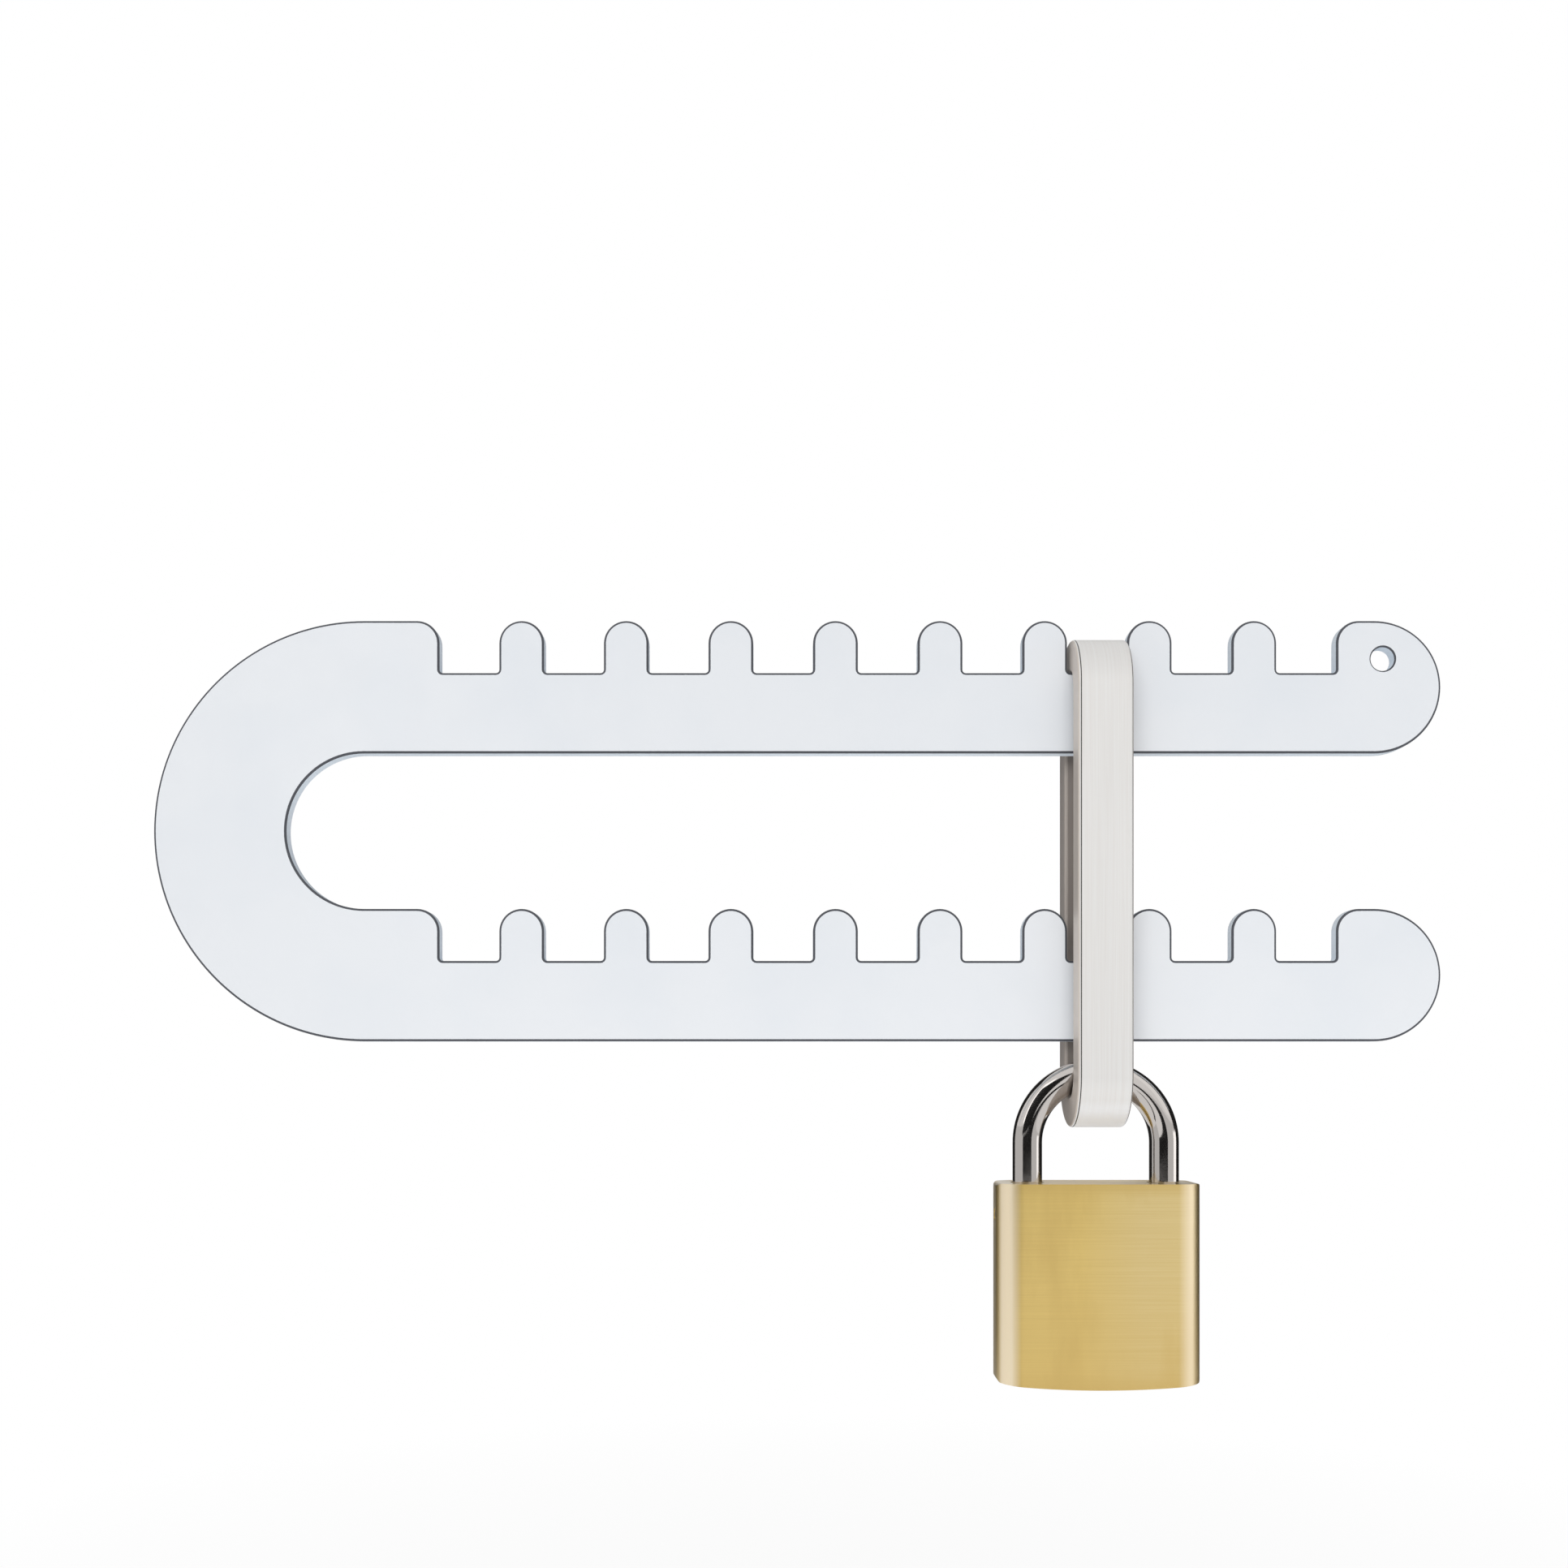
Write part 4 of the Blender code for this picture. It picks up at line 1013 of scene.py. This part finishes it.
def keyway_corners(lock):
    """The keyway seen from below, with the ward that stands into it."""
    half = lock.keyway_width / 2
    opening = -lock.plug_radius - OVERRUN
    ward = -lock.plug_radius / 2
    ward_end = ward + lock.ward_height
    ward_face = lock.ward_depth - half
    end = (half * KEYWAY_ROUND, KEYWAY_STEPS)
    soft = (WARD_EDGE, WARD_STEPS)
    return [
        (half, opening, 0, 0),
        (half, lock.keyway_reach, *end),
        (-half, lock.keyway_reach, *end),
        (-half, ward_end, *soft),
        (ward_face, ward_end, *soft),
        (ward_face, ward, *soft),
        (-half, ward, *soft),
        (-half, opening, 0, 0),
    ]


class HANDLELOCK_OT_plug(Operator):
    """Turn the plug and cut its keyway"""

    bl_idname = "handlelock.plug"
    bl_label = "Add Plug"

    def execute(self, context):
        lock = context.scene.lock_padlock
        radius = lock.plug_radius
        low, high = PLUG_LOW.z, PLUG_HIGH.z
        groove = lock.groove_radius
        groove_low = GROOVE_LEVEL - lock.retainer_radius - FIT
        groove_high = GROOVE_LEVEL + lock.retainer_radius + FIT
        profile = [
            *near_end(radius, low, lock.mouth),
            (radius, groove_low),
            (groove, groove_low),
            (groove, groove_high),
            (radius, groove_high),
            *far_end(radius, high, lock.mouth),
        ]
        brass = centred(turned_brass(lock, "Z"), PLUG_CENTRE)
        piece = object_from("brass_plug", turned(profile, "Z", PLUG_CENTRE, BORE_SIDES), brass)

        keyway_end = PIN_LEVELS[-1] + KEYWAY_TAIL
        keyway = thickened(outline(keyway_corners(lock), "Z"), low - OVERRUN, keyway_end, "Z")
        moved(keyway, PLUG_CENTRE)
        room = lock.tongue_width / 2 + FIT
        reach = radius + OVERRUN
        slot_low = (PLUG_AXIS - reach, -room, CAM_LOW.z - FIT)
        slot = block(slot_low, (PLUG_AXIS + reach, room, high + OVERRUN))
        bore = blind_bore(lock.pin_radius + FIT, 0, radius, BORE_EDGE)
        bores = [turned(bore, "Y", (PLUG_AXIS, 0, level)) for level in PIN_LEVELS]
        cut(piece, [keyway, slot, *bores])
        finished(piece, "plug_body", "plug")
        return {"FINISHED"}


def plain_pin(name, node, radius, edge, centre, finish):
    """Fits a pin with two flat ends into the case, along X."""
    low, high = (corner.x - centre[0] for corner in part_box(node))
    profile = near_end(radius, low, edge) + far_end(radius, high, edge)
    finished(object_from(name, turned(profile, "X", centre), finish), "case_body", node)


class HANDLELOCK_OT_pin_stacks(Operator):
    """Fit the key pins, driver pins, springs and caps"""

    bl_idname = "handlelock.pin_stacks"
    bl_label = "Add Pin Stacks"

    def execute(self, context):
        lock = context.scene.lock_padlock
        brass = turned_brass(lock, "X")
        across_brass = turned_brass(lock, "Y")
        wire = ground_steel("pin_spring_steel", lock.wire_steel, PIN_WIRE_MARKS, roughness=0.36)
        radius = lock.pin_radius
        for number, level in zip(PIN_NUMBERS, PIN_LEVELS):
            centre = (PLUG_AXIS, 0, level)
            low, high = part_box(f"key_pin_{number}")
            profile = [(0, low.y), (radius, low.y + lock.pin_point), *far_end(radius, high.y, PIN_EDGE)]
            bm = turned(profile, "Y", centre)
            piece = object_from(f"pointed_key_pin_{number}", bm, centred(across_brass, centre))
            finished(piece, "plug_body", f"key_pin_{number}")

            for part, name in (("driver_pin", "turned_driver_pin"), ("chamber_cap", "pressed_chamber_cap")):
                part, name = f"{part}_{number}", f"{name}_{number}"
                plain_pin(name, part, radius, PIN_EDGE, centre, centred(brass, centre))

            start, end = (corner.x - PLUG_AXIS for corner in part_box(f"pin_spring_{number}"))
            coil = coiled(radius - lock.pin_wire / 2, lock.pin_wire, start, end, PIN_SPRING_TURNS)
            piece = object_from(f"wound_pin_spring_{number}", aimed(coil, "X", centre), wire)
            finished(piece, "case_body", f"pin_spring_{number}")
        return {"FINISHED"}


def cam_lobes(lock):
    """The cam seen from above: two lobes, each a spiral over a quarter of a turn."""
    lead = lock.latch_travel / RIGHT_ANGLE
    bm = bmesh.new()
    verts = []
    for turn in (0, math.pi):
        for step in range(LOBE_STEPS + 1):
            reach = lock.cam_base + lock.latch_travel * step / LOBE_STEPS
            angle = RIGHT_ANGLE * step / LOBE_STEPS + turn
            x = PLUG_AXIS + reach * math.cos(angle) - lead * math.sin(angle)
            y = reach * math.sin(angle) + lead * math.cos(angle)
            verts.append(bm.verts.new((x, y, 0)))
    bm.faces.new(verts)
    return bm


class HANDLELOCK_OT_cam(Operator):
    """Shape the cam that the plug turns, with its collar and tongue"""

    bl_idname = "handlelock.cam"
    bl_label = "Add Cam"

    def execute(self, context):
        lock = context.scene.lock_padlock
        steel = ground_steel("cam_steel", lock.hard_steel, CAM_MARKS, roughness=0.34)
        low = PLUG_HIGH.z + FIT
        high = low + lock.collar_height
        radius, stem = lock.collar_radius, lock.stem_radius
        profile = near_end(radius, low, lock.mouth) + far_end(radius, high, lock.mouth)[:-1]
        profile += [(stem, high), (stem, LATCH_LEVEL), (0, LATCH_LEVEL)]
        piece = object_from("two_lobed_cam", turned(profile, "Z", PLUG_CENTRE, BORE_SIDES), steel)

        lobes = thickened(cam_lobes(lock), LATCH_LEVEL - lock.latch_radius - FIT, CAM_HIGH.z, "Z")
        half_length, half_width = lock.tongue_length / 2, lock.tongue_width / 2
        tongue_low = (PLUG_AXIS - half_length, -half_width, CAM_LOW.z)
        tongue = block(tongue_low, (PLUG_AXIS + half_length, half_width, (low + high) / 2))
        cut(piece, [lobes, tongue], "UNION")
        finished(piece, "plug_body", "actuator_cam")
        return {"FINISHED"}


class HANDLELOCK_OT_steel_pins(Operator):
    """Fit the two latches and the pins and cap that are pressed into the case"""

    bl_idname = "handlelock.steel_pins"
    bl_label = "Add Latches and Pressed Pins"

    def execute(self, context):
        lock = context.scene.lock_padlock
        steel = ground_steel("latch_steel", lock.hard_steel, LATCH_MARKS, roughness=0.3)
        radius = lock.latch_radius
        for end, along in (("toe", "X"), ("heel", "-X")):
            low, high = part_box(f"latch_{end}")
            back, tip = sorted((abs(low.x - PLUG_AXIS), abs(high.x - PLUG_AXIS)))
            profile = near_end(radius, back, lock.mouth)
            profile += [(radius, tip - lock.nose_length), (lock.nose_radius, tip), (0, tip)]
            bm = turned(profile, along, (PLUG_AXIS, 0, LATCH_LEVEL), BORE_SIDES)
            piece = object_from(f"nosed_latch_{end}", bm, steel)
            finished(piece, f"{end}_latch_body", f"latch_{end}")

        brass = turned_brass(lock, "X")
        pressed = (
            ("heel_stop_pin", "pressed_stop_pin", lock.stop_pin_radius, "hard_steel"),
            ("plug_retaining_pin", "pressed_retaining_pin", lock.retainer_radius, "hard_steel"),
            ("latch_bore_cap", "pressed_latch_bore_cap", lock.latch_radius, "inner_brass"),
        )
        for node, name, radius, slot in pressed:
            centre = (0, 0, middle(node).z)
            finish = centred(brass, centre) if slot == "inner_brass" else steel
            plain_pin(name, node, radius, PRESSED_EDGE, centre, finish)
        return {"FINISHED"}


class HANDLELOCK_OT_shackle_spring(Operator):
    """Wind the spring that lifts the shackle"""

    bl_idname = "handlelock.shackle_spring"
    bl_label = "Add Shackle Spring"

    def execute(self, context):
        lock = context.scene.lock_padlock
        heel = leg_places(lock)[1]
        low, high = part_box("shackle_spring")
        thickness = lock.spring_wire
        coil = coiled(lock.rod_radius - thickness / 2, thickness, low.z, high.z, SHACKLE_SPRING_TURNS)
        wire = ground_steel("shackle_spring_steel", lock.wire_steel, SHACKLE_WIRE_MARKS, roughness=0.36)
        piece = object_from("wound_shackle_spring", aimed(coil, "Z", (heel, 0, 0)), wire)
        checked(piece)
        piece.data.shade_smooth()
        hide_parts("shackle_spring")
        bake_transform(piece)
        return {"FINISHED"}


# Stage
def rays_to_lens(owner):
    """Is this a ray from the camera, or from metal or glass?"""
    path = added(owner, "ShaderNodeLightPath").outputs
    either = calculated(owner, "MAXIMUM", path["Is Camera Ray"], path["Is Glossy Ray"])
    return calculated(owner, "MAXIMUM", either, path["Is Transmission Ray"])


def add_world(ambient):
    """White where the camera or a gloss looks, and a plain grey light otherwise."""
    world = bpy.data.worlds.new("plain_studio")
    bpy.context.scene.world = world
    world.use_nodes = True
    grey = world.node_tree.nodes["Background"]
    fed(grey, {"Color": WHITE, "Strength": ambient})
    white = added(world, "ShaderNodeBackground", {"Color": WHITE, "Strength": 1.0})
    shown(world, "World Output", layered(world, rays_to_lens(world), grey, white))


def floor_material():
    """A pale floor that keeps some of the object's shadow near it, and shows plain white further off.

    It is clear from below, so that the underside of the lock can be looked at.
    """
    material = material_named("pale_floor", FLOOR_GREY, metallic=0.0, roughness=1.0)
    far = added(material, "ShaderNodeVectorMath", {0: place_on(material)}, operation="LENGTH")
    fade = mapped(material, far.outputs["Value"], *FLOOR_FADE)
    share = calculated(material, "MULTIPLY", rays_to_lens(material), fade)
    glow = added(material, "ShaderNodeEmission", {"Strength": 1.0})
    seen = layered(material, share, shader_of(material), glow)
    below = added(material, "ShaderNodeNewGeometry").outputs["Backfacing"]
    clear = added(material, "ShaderNodeBsdfTransparent")
    shown(material, "Material Output", layered(material, below, seen, clear))
    return material


def add_light(name, kind, energy, turn):
    """A soft light that no gloss shows. It shines down until it is turned."""
    light = bpy.data.lights.new(name, kind)
    light.energy = energy
    lamp = placed(name, light)
    lamp.rotation_euler = turn
    lamp.visible_glossy = False
    return lamp


def add_card(name, azimuths, elevations, shade, radius):
    """A curved card round the object that only metal and gloss show. All angles are in degrees."""
    material = bpy.data.materials.new(name)
    material.use_nodes = True
    material.node_tree.nodes.remove(shader_of(material))
    shown(material, "Material Output", added(material, "ShaderNodeEmission", {"Strength": shade}))
    bm = bmesh.new()
    first, last = [math.radians(angle) for angle in azimuths]
    across = PLUG_AXIS + radius * math.sin(first)
    levels = [radius * math.tan(math.radians(angle)) + CARD_CENTRE for angle in elevations]
    verts = [bm.verts.new((across, -radius * math.cos(first), z)) for z in levels]
    edge = bm.edges.new(verts)
    spun(bm, [*verts, edge], PLUG_CENTRE, UP, last - first, CARD_STEPS)
    card = object_from(name, bm, material)
    card.visible_camera = False
    card.visible_diffuse = False
    card.visible_shadow = False


class HANDLELOCK_OT_stage(Operator):
    """Set up the floor, the lights and the camera"""

    bl_idname = "handlelock.stage"
    bl_label = "Set Up Stage"

    def execute(self, context):
        stage = context.scene.lock_stage
        scene = context.scene
        scene.view_settings.view_transform = "Standard"
        add_world(stage.ambient)

        floor_level = CASE_LOW.z - stage.floor_drop
        floor = bmesh.new()
        bmesh.ops.create_grid(floor, x_segments=1, y_segments=1, size=FLOOR_SIZE)
        object_from("pale_floor", moved(floor, (0, 0, floor_level)), floor_material())

        suns = (("key_light", KEY_AZIMUTH, stage.key), ("fill_light", FILL_AZIMUTH, stage.fill))
        for name, azimuth, strength in suns:
            turn = (RIGHT_ANGLE - LIGHT_ELEVATION, 0, math.radians(azimuth))
            add_light(name, "SUN", strength, turn).data.angle = stage.softness
        energy = stage.table * math.pi * TABLE_LIGHT**2
        lamp = add_light("table_light", "AREA", energy, (math.pi, 0, 0))
        lamp.data.size = TABLE_LIGHT
        lamp.location = (PLUG_AXIS, 0, floor_level + TABLE_GAP)
        lamp.visible_camera = False
        for card in CARDS:
            add_card(*card)

        camera = placed("camera", bpy.data.cameras.new("camera"))
        camera.location = (stage.view_across, PLATE_LOW.y - stage.distance, stage.eye_up)
        camera.rotation_euler = (RIGHT_ANGLE, 0, 0)
        camera.data.lens = camera.data.sensor_width * stage.distance / stage.view_width
        camera.data.shift_y = (stage.view_up - stage.eye_up) / stage.view_width
        camera.data.clip_start = NEAR_LIMIT
        scene.camera = camera
        return {"FINISHED"}


PIECES = (
    HANDLELOCK_OT_plate,
    HANDLELOCK_OT_loop,
    HANDLELOCK_OT_shackle,
    HANDLELOCK_OT_case,
    HANDLELOCK_OT_plug,
    HANDLELOCK_OT_pin_stacks,
    HANDLELOCK_OT_cam,
    HANDLELOCK_OT_steel_pins,
    HANDLELOCK_OT_shackle_spring,
    HANDLELOCK_OT_stage,
)

SETTINGS = {
    "lock_plate": PlateSettings,
    "lock_loop": LoopSettings,
    "lock_padlock": PadlockSettings,
    "lock_stage": StageSettings,
}


class HANDLELOCK_PT_panel(Panel):
    """Lists the pieces of the handle lock"""

    bl_idname = "HANDLELOCK_PT_panel"
    bl_label = "Handle Lock"
    bl_space_type = "VIEW_3D"
    bl_region_type = "UI"
    bl_category = "Handle Lock"

    def draw(self, context):
        for operator in PIECES:
            self.layout.operator(operator.bl_idname)
        for name in SETTINGS:
            box = self.layout.box()
            settings = getattr(context.scene, name)
            for prop in settings.__annotations__:
                box.prop(settings, prop)


def register():
    for cls in (*SETTINGS.values(), *PIECES, HANDLELOCK_PT_panel):
        bpy.utils.register_class(cls)
    for name, cls in SETTINGS.items():
        setattr(bpy.types.Scene, name, PointerProperty(type=cls))


def unregister():
    for name in SETTINGS:
        delattr(bpy.types.Scene, name)
    for cls in (HANDLELOCK_PT_panel, *reversed(PIECES), *reversed(SETTINGS.values())):
        bpy.utils.unregister_class(cls)


def main():
    register()
    for operator in PIECES:
        group, name = operator.bl_idname.split(".")
        getattr(getattr(bpy.ops, group), name)()


if __name__ == "__main__":
    main()
